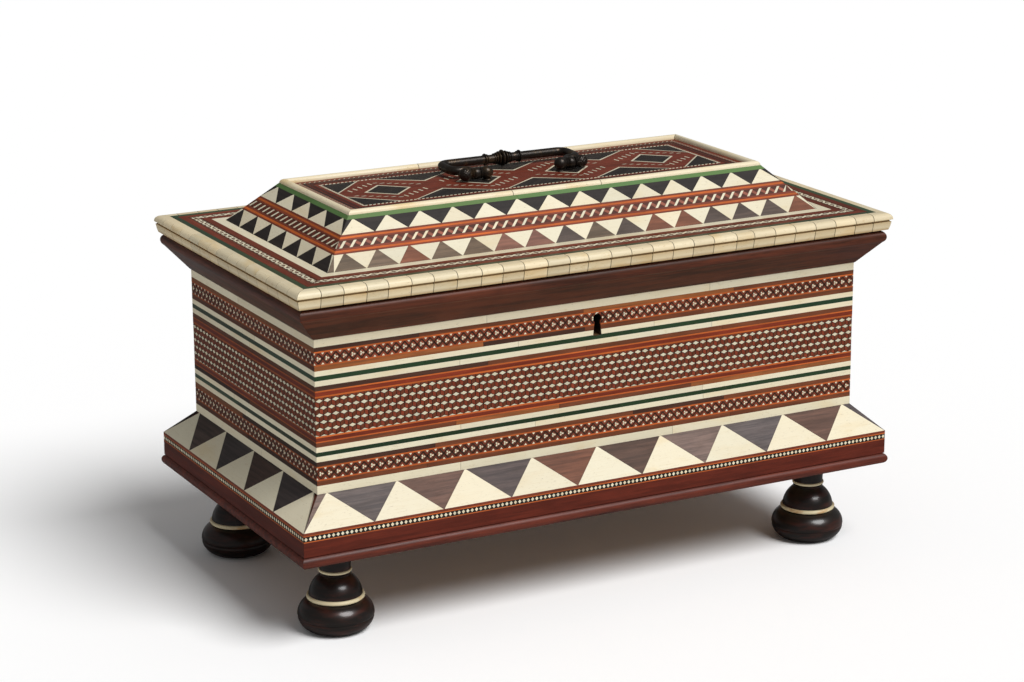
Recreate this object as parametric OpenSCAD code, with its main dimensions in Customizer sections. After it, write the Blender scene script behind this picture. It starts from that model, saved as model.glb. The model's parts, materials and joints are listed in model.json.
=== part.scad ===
// Antique knife box: a bone and mosaic veneered chest on four turned feet, with a hipped lid,
// a swinging bail handle, two butt hinges and a sliding-bolt lock.
// The origin is on the floor under the middle of the chest; the front faces -Y.

/* [Case] */
// Width of the case over its veneered walls
body_w = 380; // [340:1:440]
// Depth of the case over its veneered walls
body_d = 191.5; // [170:0.5:230]
// Thickness of a wall with its veneer
wall_t = 12; // [9:0.5:16]
// Thickness of the veneer and inlay
veneer = 1.2; // [0.8:0.1:2]
// Height of the veneered wall that shows between plinth and cornice
wall_show_h = 95; // [88:0.5:120]
// Thickness of the bottom board
bottom_t = 12; // [8:0.5:18]

/* [Plinth] */
// How far the plinth stands out from the walls
plinth_out = 16.8; // [12:0.2:22]
// Height of the upright edge of the plinth
plinth_edge_h = 15.3; // [10:0.1:22]
// Height of the sloping top of the plinth
plinth_slope_h = 16.4; // [12:0.1:24]
// Height of the round bead under the plinth
bead_h = 7.3; // [5:0.1:9]
// How far the bead stands out past the upright edge
bead_proud = 1.7; // [0.8:0.1:3]
// Width of the bead strip
bead_w = 6.5; // [5:0.1:10]

/* [Cornice] */
// Height of the cornice
cornice_h = 22.2; // [16:0.1:30]
// How far the cornice stands out from the walls
cornice_out = 14.7; // [11:0.1:16]
// Radius of the round nose of the cornice
nose_r = 4.2; // [3:0.1:5]

/* [Feet] */
// Height of a foot
foot_h = 54.5; // [46:0.5:70]
// Distance of a foot's axis from the outermost edge of the bead
foot_inset = 37; // [32:0.5:50]
// Radius of the bun
bun_r = 23.5; // [20:0.5:27]
// Height of the bun
bun_h = 20; // [14:0.5:24]
// Radius of the large bone ring
ring_r = 17.9; // [15:0.1:19]
// Thickness of the large bone ring
ring_t = 2.2; // [1.4:0.1:3]
// Radius of the dome above the large ring
dome_r = 16.6; // [14:0.1:17.5]
// Height of the dome
dome_h = 12.3; // [9:0.1:14]
// Radius of the small bone ring
cap_ring_r = 10.4; // [8:0.1:12]
// Thickness of the small bone ring
cap_ring_t = 1.8; // [1:0.1:2.6]
// Radius of the round tenon that holds a foot
tenon_r = 6; // [4:0.5:8]

/* [Wall bands] */
// Height of the plain bone band under the cornice and above the plinth
bone_band_h = 5.2; // [4:0.1:8]
// Height of a narrow bone line
bone_line_h = 3.2; // [2:0.1:4.5]
// Height of a green line
green_line_h = 2.8; // [1.8:0.1:4]
// Height of a guilloche band
guilloche_h = 7.2; // [5:0.1:9]
// Height of the striped strip next to a guilloche band
narrow_strip_h = 3.6; // [2:0.1:5]
// Height of the striped strip next to the centre band
wide_strip_h = 6.8; // [5:0.1:9]

/* [Keyhole and lock] */
// Distance of the keyhole's round top below the cornice
keyhole_drop = 12.2; // [11:0.1:14]
// Radius of the keyhole's round top
keyhole_r = 3; // [2.4:0.1:3.4]
// Length of the keyhole below the centre of its round top
keyhole_tail = 11; // [8:0.1:14]
// Width of the lock
lock_w = 60; // [54:1:76]
// Height of the lock
lock_h = 47; // [45:0.5:56]
// Depth of the lock
lock_d = 12; // [11:0.5:16]
// Thickness of the lock's plates
lock_plate_t = 1.5; // [1:0.1:2]
// How far the bolt slides
bolt_throw = 7; // [6:0.5:8]
// Height of the bolt's nose
bolt_h = 5; // [4:0.1:6]
// Thickness of the bolt
bolt_t = 3.8; // [3:0.1:4.4]

/* [Hinges] */
// Distance of a hinge from the middle of the back
hinge_x = 115; // [80:1:140]
// Length of a hinge
hinge_len = 46; // [36:1:60]
// Radius of a hinge knuckle
knuckle_r = 2.4; // [2:0.1:2.6]
// Radius of a hinge pin
pin_r = 1.2; // [0.8:0.1:1.4]
// Thickness of a hinge leaf
leaf_t = 1.3; // [0.9:0.1:2]
// Width of a hinge leaf from the pin's axis inwards
leaf_w = 26; // [25.5:0.5:27]
// Distance of the pin's axis outside the back wall
pin_out = 15.9; // [15.8:0.1:16.2]
// Number of screws in one leaf
leaf_screws = 3; // [2:1:4]

/* [Lid] */
// Gap between the closed lid and the case
seam = 0.3; // [0.2:0.05:0.6]
// Height of the lid's rim
rim_h = 11.3; // [10.8:0.1:16]
// How far the bone edge moulding stands out from the walls
lid_out = 17.5; // [17:0.1:20]
// Width of the bone edge moulding seen from above
moulding_w = 8; // [6:0.1:8.5]
// Length of one bone block of the edge moulding
block_len = 15.9; // [12:0.1:24]
// How far the foot of the slope lies inside the walls
hip_in = 17.7; // [17:0.1:22]
// Level distance that the slope of the lid runs inwards
slope_run = 26.3; // [20:0.1:30]
// Height that the slope of the lid rises
slope_rise = 26.4; // [22:0.1:32]
// Thickness of a sloping board
slope_t = 9; // [7:0.5:10]
// Thickness of the top board
top_t = 8.5; // [6:0.5:10]
// Width of the half-round bone bead round the top panel
top_bead_w = 5.2; // [4:0.1:6]
// Width of the lid's frame inside the walls
frame_in = 28; // [24:0.5:34]

/* [Lid bands] */
// Width of the green line beside the edge moulding
border_green_w = 4; // [2:0.1:5]
// Width of a brown strip of the border
border_brown_w = 4.7; // [3:0.1:5]
// Width of the twisted rope band in the border
border_rope_w = 7; // [5:0.1:7.5]
// Height of the green line at the head of the slope
slope_green_h = 2.4; // [1.5:0.1:3.5]
// Height of the upper row of triangles
upper_row_h = 10; // [8:0.1:11]
// Height of the striped rope band between the rows
rope_band_h = 14; // [12:0.1:15]
// Width of the joint between two inlaid pieces
kerf = 0.1; // [0.05:0.01:0.2]

/* [Patterns] */
// Triangles of the plinth along the front
plinth_count_x = 9; // [5:1:13]
// Triangles of the plinth along a side
plinth_count_y = 5; // [3:1:9]
// Triangles of the lid's upper row along the front
upper_count_x = 14; // [8:1:20]
// Triangles of the lid's upper row along a side
upper_count_y = 5; // [3:1:9]
// Triangles of the lid's lower row along the front
lower_count_x = 16; // [8:1:22]
// Triangles of the lid's lower row along a side
lower_count_y = 7; // [3:1:11]
// Cells of strapwork on the top panel
panel_cells = 4; // [2:1:6]
// Width of the border round the strapwork
panel_border_w = 13.8; // [10:0.1:16]
// Distance from a crossing of the straps to the tip of a black lozenge
node_clear = 15.75; // [12:0.25:20]
// Share of the strapwork's half depth that a black lozenge takes
lozenge_share = 0.47; // [0.35:0.01:0.6]
// Share of the strapwork's half depth that is free at a black triangle's tip
tip_share = 0.365; // [0.25:0.005:0.5]
// Gap between two black triangles along the border
triangle_gap = 6; // [2:0.5:10]
// Distance of a black corner piece from the nearest crossings
corner_clear = 4.5; // [2:0.5:10]

/* [Handle] */
// Distance of the handle's middle from the middle of the lid, to the right
handle_x = -1.5; // [-5:0.5:5]
// Distance of the handle's pivots from the middle of the lid, to the back
handle_y = -4; // [-8:0.5:4]
// Distance of a pivot from the handle's middle
pivot_x = 34; // [30:0.5:40]
// Height of the pivots' axis above the top panel
pivot_h = 4.8; // [4.7:0.1:6]
// Radius of the bail's bar
bail_r = 2.8; // [2.2:0.1:3]
// Distance from the pivots' axis to the bail's bar
bail_reach = 30; // [26:0.5:36]
// Radius of the two bends at an end of the bail
curl_r = 6; // [5:0.2:8]
// Length of the straight bar between those bends
curl_flat = 8; // [4:0.5:10]
// Radius of the bend from the bail into its eye
elbow_r = 5.2; // [5:0.1:6]
// Radius of the large ring on the bail
knob_r = 5.4; // [4.6:0.1:6]
// Radius of the eye round the pivot
eye_r = 4.4; // [3.8:0.1:4.5]
// Radius of the pivot's waist
waist_r = 1.9; // [1.5:0.1:2.4]
// Radius of the acorn and the bud
acorn_r = 4.2; // [3.4:0.1:4.4]
// Length of the acorn from the eye to its tip
acorn_len = 9.4; // [8:0.2:12]
// Length of the bud from the eye to its tip
bud_len = 8.9; // [8:0.2:11]
// Radius of the shank through the lid
shank_r = 2.2; // [1.6:0.1:3]
// Thickness of the nut under the lid
nut_t = 3; // [2:0.5:5]

/* [Knife racks] */
// Distance of a rack from the middle of the case
rack_x = 105; // [60:1:130]
// Thickness of a rack
rack_t = 12; // [8:0.5:16]
// Height of a rack
rack_h = 46; // [30:1:70]
// Number of knife notches in a rack
notch_count = 6; // [3:1:8]
// Width of a notch
notch_w = 9; // [6:0.5:12]
// Depth of a notch
notch_depth = 26; // [15:1:34]

/* [Hidden] */
$fn = 48;

// Sides are numbered anticlockwise from the front
front = 0;
right = 1;
back = 2;
left = 3;
sides = [front, right, back, left];

// Levels above the floor, from the feet to the top panel
plinth_edge_z = foot_h + bead_h;
plinth_slope_z = plinth_edge_z + plinth_edge_h;
wall_z = plinth_slope_z + plinth_slope_h;
cornice_z = wall_z + wall_show_h;
case_top = cornice_z + cornice_h;
inner_floor = foot_h + bottom_t;
rim_z = case_top + seam;
border_z = rim_z + rim_h;
panel_z = border_z + slope_rise;
board_top = panel_z - veneer;
board_bottom = board_top - top_t;

// Colours of the finishes
bone = [0.92, 0.88, 0.76];
rosewood = [0.30, 0.16, 0.13];
ebony = [0.17, 0.15, 0.17];
mahogany = [0.42, 0.17, 0.11];
striped = [0.62, 0.30, 0.15];
green = [0.20, 0.34, 0.22];
bright_green = [0.42, 0.60, 0.34];
mosaic = [0.52, 0.36, 0.27];
oak = [0.60, 0.44, 0.28];
bronze = [0.18, 0.15, 0.13];
iron = [0.33, 0.32, 0.31];
brass = [0.66, 0.52, 0.28];

// Reach of the mitre cuts past the moulding and inside the walls
mitre_out = 30;
mitre_in = 60;

function side_len(s) = s % 2 == 0 ? body_w : body_d;
function side_reach(s) = (s % 2 == 0 ? body_d : body_w) / 2;
function per_side(s, along_front, along_side) = s % 2 == 0 ? along_front : along_side;

// Places its children on one side: x along the side, -y outwards from the wall's face
module on_side(s) {
    rotate(90 * s) translate([0, -side_reach(s), 0]) children();
}

// The space between the two mitre planes of a side
module mitre_space(s) {
    half = side_len(s) / 2 - kerf / 2;
    linear_extrude(2 * panel_z)
        polygon([
            [-half - mitre_out, -mitre_out],
            [half + mitre_out, -mitre_out],
            [half - mitre_in, mitre_in],
            [-half + mitre_in, mitre_in],
        ]);
}

// A strip with mitred ends along one side; the child is its section, x outwards and y up
module run(s) {
    on_side(s) intersection() {
        rotate([90, 0, 90])
            linear_extrude(side_len(s) + 2 * mitre_out, center = true)
                mirror([1, 0]) children();
        mitre_space(s);
    }
}

// Section of a strip between two distances from the wall's face and two levels
module section(out_a, out_b, z_a, z_b) {
    translate([out_a, z_a]) square([out_b - out_a, z_b - z_a]);
}

// Section of a layer under a slope; the slope runs from its foot inwards and up
module layer_section(foot_out, foot_z, run_in, rise, depth_a, depth_b, from, to) {
    angle = atan2(rise, run_in);
    translate([foot_out, foot_z]) mirror([1, 0]) rotate(angle)
        translate([from, -depth_b]) square([to - from, depth_b - depth_a]);
}

// Lays a flat inlay on a slope: x along the side, y up the slope, its face on the slope
module on_slope(s, foot_out, foot_z, run_in, rise) {
    on_side(s) intersection() {
        translate([0, -foot_out, foot_z]) rotate([atan2(rise, run_in), 0, 0])
            translate([0, 0, -veneer]) linear_extrude(veneer) children();
        mitre_space(s);
    }
}

// Shares of a triangle's pitch that its foot and its blunt tip leave free
foot_gap = 0.8;
tip_w = 1.4;

// A row of upright triangles, blunt at the tip
module upright_row(count, pitch, low, high) {
    for (i = [0 : count - 1])
        translate([(i - (count - 1) / 2) * pitch, 0])
            polygon([
                [-(pitch - foot_gap) / 2, low],
                [(pitch - foot_gap) / 2, low],
                [tip_w / 2, high],
                [-tip_w / 2, high],
            ]);
}

// The pieces that fill the spaces between upright triangles, one more than the triangles
module hanging_row(count, pitch, low, high) {
    for (i = [0 : count])
        translate([(i - count / 2) * pitch, 0])
            polygon([
                [-foot_gap / 2 + kerf, low],
                [foot_gap / 2 - kerf, low],
                [(pitch - tip_w) / 2 - kerf, high],
                [-(pitch - tip_w) / 2 + kerf, high],
            ]);
}

// Wall bands from the top down; the centre band takes what the others leave
upper_bands = [bone_band_h, narrow_strip_h, guilloche_h, narrow_strip_h,
    bone_line_h, green_line_h, bone_line_h, wide_strip_h];
function total(list, i = 0) = i >= len(list) ? 0 : list[i] + total(list, i + 1);
function first(list, n) = [for (i = [0 : 1 : n - 1]) list[i]];
centre_h = wall_show_h - 2 * total(upper_bands);

// Band number n from the top, and its mirror image from the bottom
module upper_band(n) {
    top = cornice_z - total(first(upper_bands, n));
    for (s = sides) run(s) section(-veneer, 0, top - upper_bands[n], top);
}
module lower_band(n) {
    low = wall_z + total(first(upper_bands, n));
    for (s = sides) run(s) section(-veneer, 0, low, low + upper_bands[n]);
}
module both_bands(n) {
    upper_band(n);
    lower_band(n);
}

// The keyhole through the front wall: a round top over a flaring slot
keyhole_z = cornice_z - keyhole_drop;
keyhole_neck = 3.6;
keyhole_flare = 6;
module keyhole() {
    translate([0, 1 - body_d / 2 + wall_t, keyhole_z]) rotate([90, 0, 0])
        linear_extrude(wall_t + 2) {
            circle(keyhole_r);
            polygon([
                [-keyhole_neck / 2, 0],
                [-keyhole_flare / 2, -keyhole_tail],
                [keyhole_flare / 2, -keyhole_tail],
                [keyhole_neck / 2, 0],
            ]);
        }
}

// Carcass walls: front and back run through, the sides stand between them
module long_wall() {
    on_side(front) translate([veneer - body_w / 2, veneer, inner_floor])
        cube([body_w - 2 * veneer, wall_t - veneer, case_top - inner_floor]);
}
module short_wall() {
    on_side(left) translate([wall_t - body_d / 2, veneer, inner_floor])
        cube([body_d - 2 * wall_t, wall_t - veneer, case_top - inner_floor]);
}
module front_wall() {
    color(oak) difference() {
        long_wall();
        keyhole();
    }
}
module back_wall() {
    color(oak) difference() {
        rotate(180) long_wall();
        case_leaf_recesses();
        case_screw_holes();
    }
}
module left_wall() {
    color(oak) short_wall();
}
module right_wall() {
    color(oak) rotate(180) short_wall();
}
module bottom_board() {
    color(oak) difference() {
        translate([veneer - body_w / 2, veneer - body_d / 2, foot_h])
            cube([body_w - 2 * veneer, body_d - 2 * veneer, bottom_t]);
        at_feet() translate([0, 0, foot_h - 1]) cylinder(r = tenon_r + 0.05, h = bottom_t);
    }
}

// The plinth: an upright edge, a sloping top and a round bead below
slope_len_plinth = norm([plinth_out, plinth_slope_h]);
bead_out = plinth_out + bead_proud;
module plinth_layer(depth_a, depth_b) {
    layer_section(plinth_out, plinth_slope_z, plinth_out, plinth_slope_h,
        depth_a, depth_b, 0, slope_len_plinth);
}
module plinth_edge_section() {
    section(plinth_out - veneer, plinth_out, plinth_edge_z + kerf, plinth_slope_z - veneer);
}
module plinth_side(s) {
    color(mahogany) run(s) difference() {
        polygon([
            [-veneer, foot_h],
            [plinth_out, foot_h],
            [plinth_out, plinth_slope_z],
            [0, wall_z],
            [-veneer, wall_z],
        ]);
        section(bead_out - bead_w - kerf, plinth_out + 1, foot_h - 1, plinth_edge_z + kerf);
        plinth_edge_section();
        plinth_layer(-1, veneer);
    }
}
module plinth_bead() {
    color(mahogany) for (s = sides) run(s) {
        section(bead_out - bead_w, bead_out - bead_h / 2, foot_h, plinth_edge_z);
        translate([bead_out - bead_h / 2, foot_h + bead_h / 2]) intersection() {
            circle(bead_h / 2);
            translate([0, -bead_h]) square(2 * bead_h);
        }
    }
}
module plinth_edge_veneer() {
    color(mosaic) for (s = sides) run(s) plinth_edge_section();
}
module on_plinth(s) {
    on_slope(s, plinth_out, plinth_slope_z, plinth_out, plinth_slope_h) children();
}
function plinth_count(s) = per_side(s, plinth_count_x, plinth_count_y);
function plinth_pitch(s) = (side_len(s) + 2 * plinth_out) / plinth_count(s);
module plinth_bone_triangles() {
    color(bone) for (s = sides)
        on_plinth(s) upright_row(plinth_count(s), plinth_pitch(s), 0, slope_len_plinth);
}
module plinth_rosewood_triangles() {
    color(rosewood) for (s = sides)
        on_plinth(s) hanging_row(plinth_count(s), plinth_pitch(s), 0, slope_len_plinth);
}

// The cornice: a round nose over a straight bevel that falls back to the wall
bevel_foot = [0.5, cornice_z];
nose_centre = [cornice_out - nose_r, case_top - nose_r];
bevel_run = nose_centre - bevel_foot;
bevel_depth = 0.96 * nose_r;
bevel_angle = atan2(bevel_run[1], bevel_run[0]) - asin(bevel_depth / norm(bevel_run));
bevel_len = sqrt(norm(bevel_run) ^ 2 - bevel_depth ^ 2);
bevel_head = bevel_foot + bevel_len * [cos(bevel_angle), sin(bevel_angle)];
module cornice_section() {
    polygon([
        [-veneer, cornice_z],
        bevel_foot,
        bevel_head,
        nose_centre,
        [nose_centre[0], case_top],
        [-veneer, case_top],
    ]);
    translate(nose_centre) circle(nose_r);
}
module cornice_side(s) {
    color(rosewood) difference() {
        run(s) cornice_section();
        if (s == back) {
            knuckle_notches();
            case_leaf_recesses();
        }
    }
}

// Inlay of the walls
module wall_bone_bands() {
    color(bone) difference() {
        union() {
            both_bands(0);
            both_bands(4);
            both_bands(6);
        }
        keyhole();
    }
}
module wall_green_lines() {
    color(green) difference() {
        both_bands(5);
        keyhole();
    }
}
module wall_striped_strips() {
    color(striped) difference() {
        union() {
            both_bands(1);
            both_bands(3);
            both_bands(7);
        }
        keyhole();
    }
}
module guilloche_bands() {
    color(mosaic) difference() {
        both_bands(2);
        keyhole();
    }
}
module centre_mosaic_band() {
    low = wall_z + total(upper_bands);
    color(mosaic) for (s = sides) run(s) section(-veneer, 0, low, low + centre_h);
}

// Feet: bun, large bone ring, dome, small bone ring, neck and round tenon
foot_x = body_w / 2 + bead_out - foot_inset;
foot_y = body_d / 2 + bead_out - foot_inset;
dome_z = bun_h + ring_t;
cap_z = dome_z + dome_h;
cap_disc_h = 2;
cap_ring_z = cap_z + cap_disc_h;
neck_z = cap_ring_z + cap_ring_t;
neck_r = cap_ring_r - 0.8;
pad_h = 2.5;
pad_r = neck_r + 4.6;
ring_hold_r = 12;
cap_hold_r = 6;
module at_feet() {
    for (x = [-1, 1], y = [-1, 1]) translate([x * foot_x, y * foot_y, 0]) children();
}
module rounded_disc(r, h) {
    rotate_extrude() {
        square([r - h / 2, h]);
        translate([r - h / 2, h / 2]) intersection() {
            circle(h / 2);
            translate([0, -h]) square(2 * h);
        }
    }
}
module foot(x, y) {
    neck_h = foot_h - pad_h - neck_z;
    hollow_r = 0.7 * neck_h;
    color(ebony) translate([x * foot_x, y * foot_y, 0]) {
        rounded_disc(bun_r, bun_h);
        translate([0, 0, bun_h - 0.01]) cylinder(r = ring_hold_r, h = ring_t + 0.02);
        intersection() {
            translate([0, 0, dome_z - 1.5]) sphere(dome_r, $fn = 64);
            translate([0, 0, dome_z]) cylinder(r = dome_r, h = dome_h);
        }
        translate([0, 0, cap_z]) rounded_disc(neck_r, cap_disc_h);
        translate([0, 0, cap_z]) cylinder(r = cap_hold_r, h = cap_disc_h + cap_ring_t + 0.02);
        translate([0, 0, neck_z]) difference() {
            cylinder(r1 = neck_r, r2 = pad_r, h = neck_h);
            translate([0, 0, neck_h / 2]) rotate_extrude()
                translate([pad_r + hollow_r - 4.2, 0]) circle(hollow_r);
        }
        translate([0, 0, foot_h - pad_h]) cylinder(r = pad_r, h = pad_h);
        translate([0, 0, foot_h - 0.01]) cylinder(r = tenon_r, h = bottom_t - 1.2);
    }
}
module foot_bone_rings() {
    color(bone) at_feet() {
        translate([0, 0, bun_h]) difference() {
            rounded_disc(ring_r, ring_t);
            translate([0, 0, -1]) cylinder(r = ring_hold_r, h = ring_t + 2);
        }
        translate([0, 0, cap_ring_z]) difference() {
            rounded_disc(cap_ring_r, cap_ring_t);
            translate([0, 0, -1]) cylinder(r = cap_hold_r, h = cap_ring_t + 2);
        }
    }
}

// The lock on the inner face of the front wall
lock_front = wall_t - body_d / 2;
lock_bottom = case_top - lock_h;
bolt_y = lock_front + lock_d / 2;
bolt_z = case_top - 9.7;
bolt_gap = 0.4;
nose_rest = -3.4;
bar_len = 21;
foot_z_bolt = keyhole_z + 9.5;
foot_h_bolt = 6;
bolt_left = nose_rest - bar_len;
staple_t = 3;
staple_w = 7.2;
eye_w = bolt_t + 2 * bolt_gap;
eye_h = bolt_h + 2 * bolt_gap + 0.4;
staple_drop = case_top + seam - bolt_z + bolt_h / 2 + bolt_gap + 3;
module lock_case() {
    inner_w = lock_w - 2 * lock_plate_t;
    color(iron) difference() {
        translate([-lock_w / 2, lock_front, lock_bottom])
            cube([lock_w, lock_d - lock_plate_t, lock_h]);
        translate([-inner_w / 2, lock_front + lock_plate_t, lock_bottom + lock_plate_t])
            cube([inner_w, lock_d, lock_h - 2 * lock_plate_t]);
        translate([-staple_t / 2 - 1.2, bolt_y - staple_w / 2 - 0.9, case_top - 3])
            cube([staple_t + 2.4, staple_w + 1.8, 6]);
        translate([0, lock_d, 0]) keyhole();
    }
}
module lock_cover() {
    color(iron) translate([0, lock_front + lock_d - lock_plate_t, 0]) {
        difference() {
            translate([-lock_w / 2, 0, lock_bottom]) cube([lock_w, lock_plate_t, lock_h]);
            rivet_holes();
        }
        translate([0, 0.01, keyhole_z]) rotate([90, 0, 0])
            cylinder(r = 1.2, h = lock_d - 2 * lock_plate_t + 2);
    }
}
rivet_r = 1.1;
module at_rivets() {
    for (x = [-1, 1], z = [lock_bottom + 5, case_top - 5])
        translate([x * (lock_w / 2 - lock_plate_t - 2.2), 0, z]) rotate([-90, 0, 0]) children();
}
module rivet_holes() {
    at_rivets() translate([0, 0, -1]) cylinder(r = rivet_r + 0.02, h = lock_plate_t + 2);
}
module lock_rivets() {
    shank = lock_d - lock_plate_t;
    color(iron) translate([0, lock_front + lock_plate_t, 0]) at_rivets() {
        cylinder(r = rivet_r, h = shank);
        translate([0, 0, lock_d - lock_plate_t]) cylinder(r = 2, h = 0.8);
    }
}
module lock_bolt() {
    color(iron) translate([0, bolt_y + bolt_t / 2, 0]) rotate([90, 0, 0])
        linear_extrude(bolt_t) difference() {
            union() {
                translate([bolt_left, bolt_z - bolt_h / 2]) square([bar_len, bolt_h]);
                translate([bolt_left, foot_z_bolt])
                    square([9, bolt_z + bolt_h / 2 - foot_z_bolt]);
                translate([bolt_left, foot_z_bolt])
                    square([bar_len + 11, foot_h_bolt]);
            }
            translate([-bolt_throw / 2 - 2.5, foot_z_bolt - 1]) square([5, 4.5]);
        }
}
module lock_spring() {
    low = foot_z_bolt + foot_h_bolt + 0.4;
    color(iron) translate([0, bolt_y + bolt_t / 2, 0]) rotate([90, 0, 0])
        linear_extrude(bolt_t) difference() {
            translate([4, low]) square([14, 4.5]);
            translate([3, low + 0.9]) square([13.4, 2.7]);
        }
    color(iron) translate([16, lock_front + lock_plate_t, low + 1])
        cube([2, lock_d - 2 * lock_plate_t, 2.5]);
}

// Butt hinges: knuckles outside the cornice, leaves let in above and below the seam
axis_y = body_d / 2 + pin_out;
axis_z = case_top + seam / 2;
knuckles = 5;
knuckle_len = hinge_len / knuckles;
knuckle_gap = 0.2;
knuckle_clear = 0.4;
module at_hinges() {
    for (x = [-hinge_x, hinge_x]) translate([x, axis_y, axis_z]) children();
}
module barrel(r, len) {
    rotate([0, 90, 0]) cylinder(r = r, h = len, center = true);
}
module knuckle_notches() {
    at_hinges() barrel(knuckle_r + knuckle_clear, hinge_len + 2 * knuckle_clear);
}
module leaf_block(up, grow) {
    z = up ? seam / 2 : -seam / 2 - leaf_t;
    translate([-hinge_len / 2 - grow, -leaf_w - grow, z])
        cube([hinge_len + 2 * grow, leaf_w + grow, leaf_t]);
}
module case_leaf_recesses() {
    at_hinges() leaf_block(false, 0.1);
    at_hinges() translate([-hinge_len / 2 - 0.1, -leaf_w, -seam / 2 - leaf_t / 2])
        cube([hinge_len + 0.2, leaf_w, leaf_t]);
}
module lid_leaf_recesses() {
    at_hinges() translate([-hinge_len / 2 - 0.1, -leaf_w - 0.1, 0])
        cube([hinge_len + 0.2, leaf_w + 0.1, seam / 2 + leaf_t]);
}
// One leaf with its knuckles; first is the number of its first knuckle
module leaf(up, first_knuckle) {
    mine = [for (k = [first_knuckle : 2 : knuckles - 1]) k];
    others = [for (k = [1 - first_knuckle : 2 : knuckles - 1]) k];
    difference() {
        union() {
            leaf_block(up, 0);
            for (k = mine) translate([(k - (knuckles - 1) / 2) * knuckle_len, 0, 0])
                barrel(knuckle_r, knuckle_len - knuckle_gap);
        }
        for (k = others) translate([(k - (knuckles - 1) / 2) * knuckle_len, 0, 0])
            barrel(knuckle_r + knuckle_clear, knuckle_len + knuckle_gap);
        barrel(pin_r + 0.05, hinge_len + 2);
        for (x = screw_places()) translate([x, screw_back, 0]) {
            translate([0, 0, up ? seam / 2 : -seam / 2]) rotate([up ? 180 : 0, 0, 0])
                screw_space(0.05);
        }
    }
}
module hinge_case_leaves() {
    color(brass) at_hinges() leaf(false, 0);
}
module hinge_lid_leaves() {
    color(brass) at_hinges() leaf(true, 1);
}
module hinge_pins() {
    color(brass) at_hinges() barrel(pin_r, hinge_len - 0.4);
}

// Countersunk screws through the leaves, on a line inside the back wall
screw_r = 1.2;
head_r = 2.4;
head_h = 1.2;
screw_len = 8;
screw_back = 1.1 + head_r - leaf_w;
function screw_places() = [for (i = [0 : leaf_screws - 1])
    (i - (leaf_screws - 1) / 2) * (hinge_len - 16) / (leaf_screws - 1)];
module screw_space(clear) {
    translate([0, 0, -head_h]) cylinder(r1 = screw_r + clear, r2 = head_r + clear, h = head_h);
    translate([0, 0, -screw_len - clear]) cylinder(r = screw_r + clear, h = screw_len);
}
module at_screws() {
    at_hinges() for (x = screw_places()) translate([x, screw_back, 0]) children();
}
module case_screw_holes() {
    at_screws() translate([0, 0, -seam / 2]) screw_space(0.05);
}
module case_hinge_screws() {
    color(brass) at_screws() translate([0, 0, -seam / 2]) screw_space(0);
}
module lid_hinge_screws() {
    color(brass) at_screws() translate([0, 0, seam / 2]) rotate([180, 0, 0]) screw_space(0);
}

// Two notched racks across the case that carry the knives
module knife_racks() {
    len = body_d - 2 * wall_t;
    pitch = len / notch_count;
    color(oak) for (x = [-rack_x, rack_x])
        translate([x - rack_t / 2, -len / 2, inner_floor]) difference() {
            cube([rack_t, len, rack_h]);
            for (i = [0 : notch_count - 1])
                translate([-1, (i + 0.5) * pitch - notch_w / 2, rack_h - notch_depth])
                    cube([rack_t + 2, notch_w, notch_depth + 1]);
        }
}

// The lid: a mitred frame, four sloping boards and a top board
core_out = lid_out - 4.5;
ovolo_h = 3.9;
slope_len = norm([slope_run, slope_rise]);
module lid_layer(depth_a, depth_b, from, to) {
    layer_section(-hip_in, border_z, slope_run, slope_rise, depth_a, depth_b, from, to);
}
module lid_frame() {
    color(mahogany) difference() {
        for (s = sides) run(s) {
            section(-frame_in, core_out, rim_z, border_z - ovolo_h);
            section(-frame_in, lid_out - moulding_w, rim_z, border_z - veneer);
        }
        lid_leaf_recesses();
        at_screws() translate([0, 0, seam / 2]) rotate([180, 0, 0]) screw_space(0.05);
        staple_plate(0.05);
    }
}
module lid_slope(s) {
    color(oak) run(s) intersection() {
        lid_layer(veneer, veneer + slope_t, -30, slope_len + 10);
        section(-200, 0, border_z - veneer, board_bottom);
    }
}
// Level distance of a sloping board's face inside the walls at a height
function face_in(z) = hip_in + (z - border_z) * slope_run / slope_rise
    + veneer * slope_len / slope_rise;
module board_wedge(length, half) {
    rotate([90, 0, 0]) linear_extrude(length, center = true)
        polygon([
            [-half + face_in(board_bottom), board_bottom],
            [half - face_in(board_bottom), board_bottom],
            [half - face_in(board_top), board_top],
            [-half + face_in(board_top), board_top],
        ]);
}
module lid_top_board() {
    color(oak) difference() {
        intersection() {
            board_wedge(body_d, body_w / 2);
            rotate(90) board_wedge(body_w, body_d / 2);
        }
        at_posts() shank(0.05);
    }
}

// Bone edge moulding: an ovolo, a small groove and a hollow step, in short blocks
module moulding_section() {
    inner = lid_out - moulding_w;
    ovolo_r = 5;
    difference() {
        union() {
            translate([lid_out - ovolo_r, border_z - ovolo_r]) intersection() {
                circle(ovolo_r);
                translate([0, ovolo_r - ovolo_h]) square(ovolo_r);
            }
            section(inner, lid_out - ovolo_r, border_z - veneer, border_z);
            section(inner, lid_out - ovolo_r + 0.5, border_z - ovolo_h, border_z - veneer);
            polygon([
                [core_out, rim_z + 0.5],
                [lid_out - 2, rim_z + 0.5],
                [lid_out - 1.2, rim_z + 2.5],
                [lid_out - 0.7, border_z - ovolo_h - 1.3],
                [lid_out - 1.5, border_z - ovolo_h - 1.1],
                [lid_out - 1.5, border_z - ovolo_h],
                [core_out, border_z - ovolo_h],
            ]);
        }
        section(inner - 1, inner, rim_z, border_z + 1);
    }
}
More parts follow.
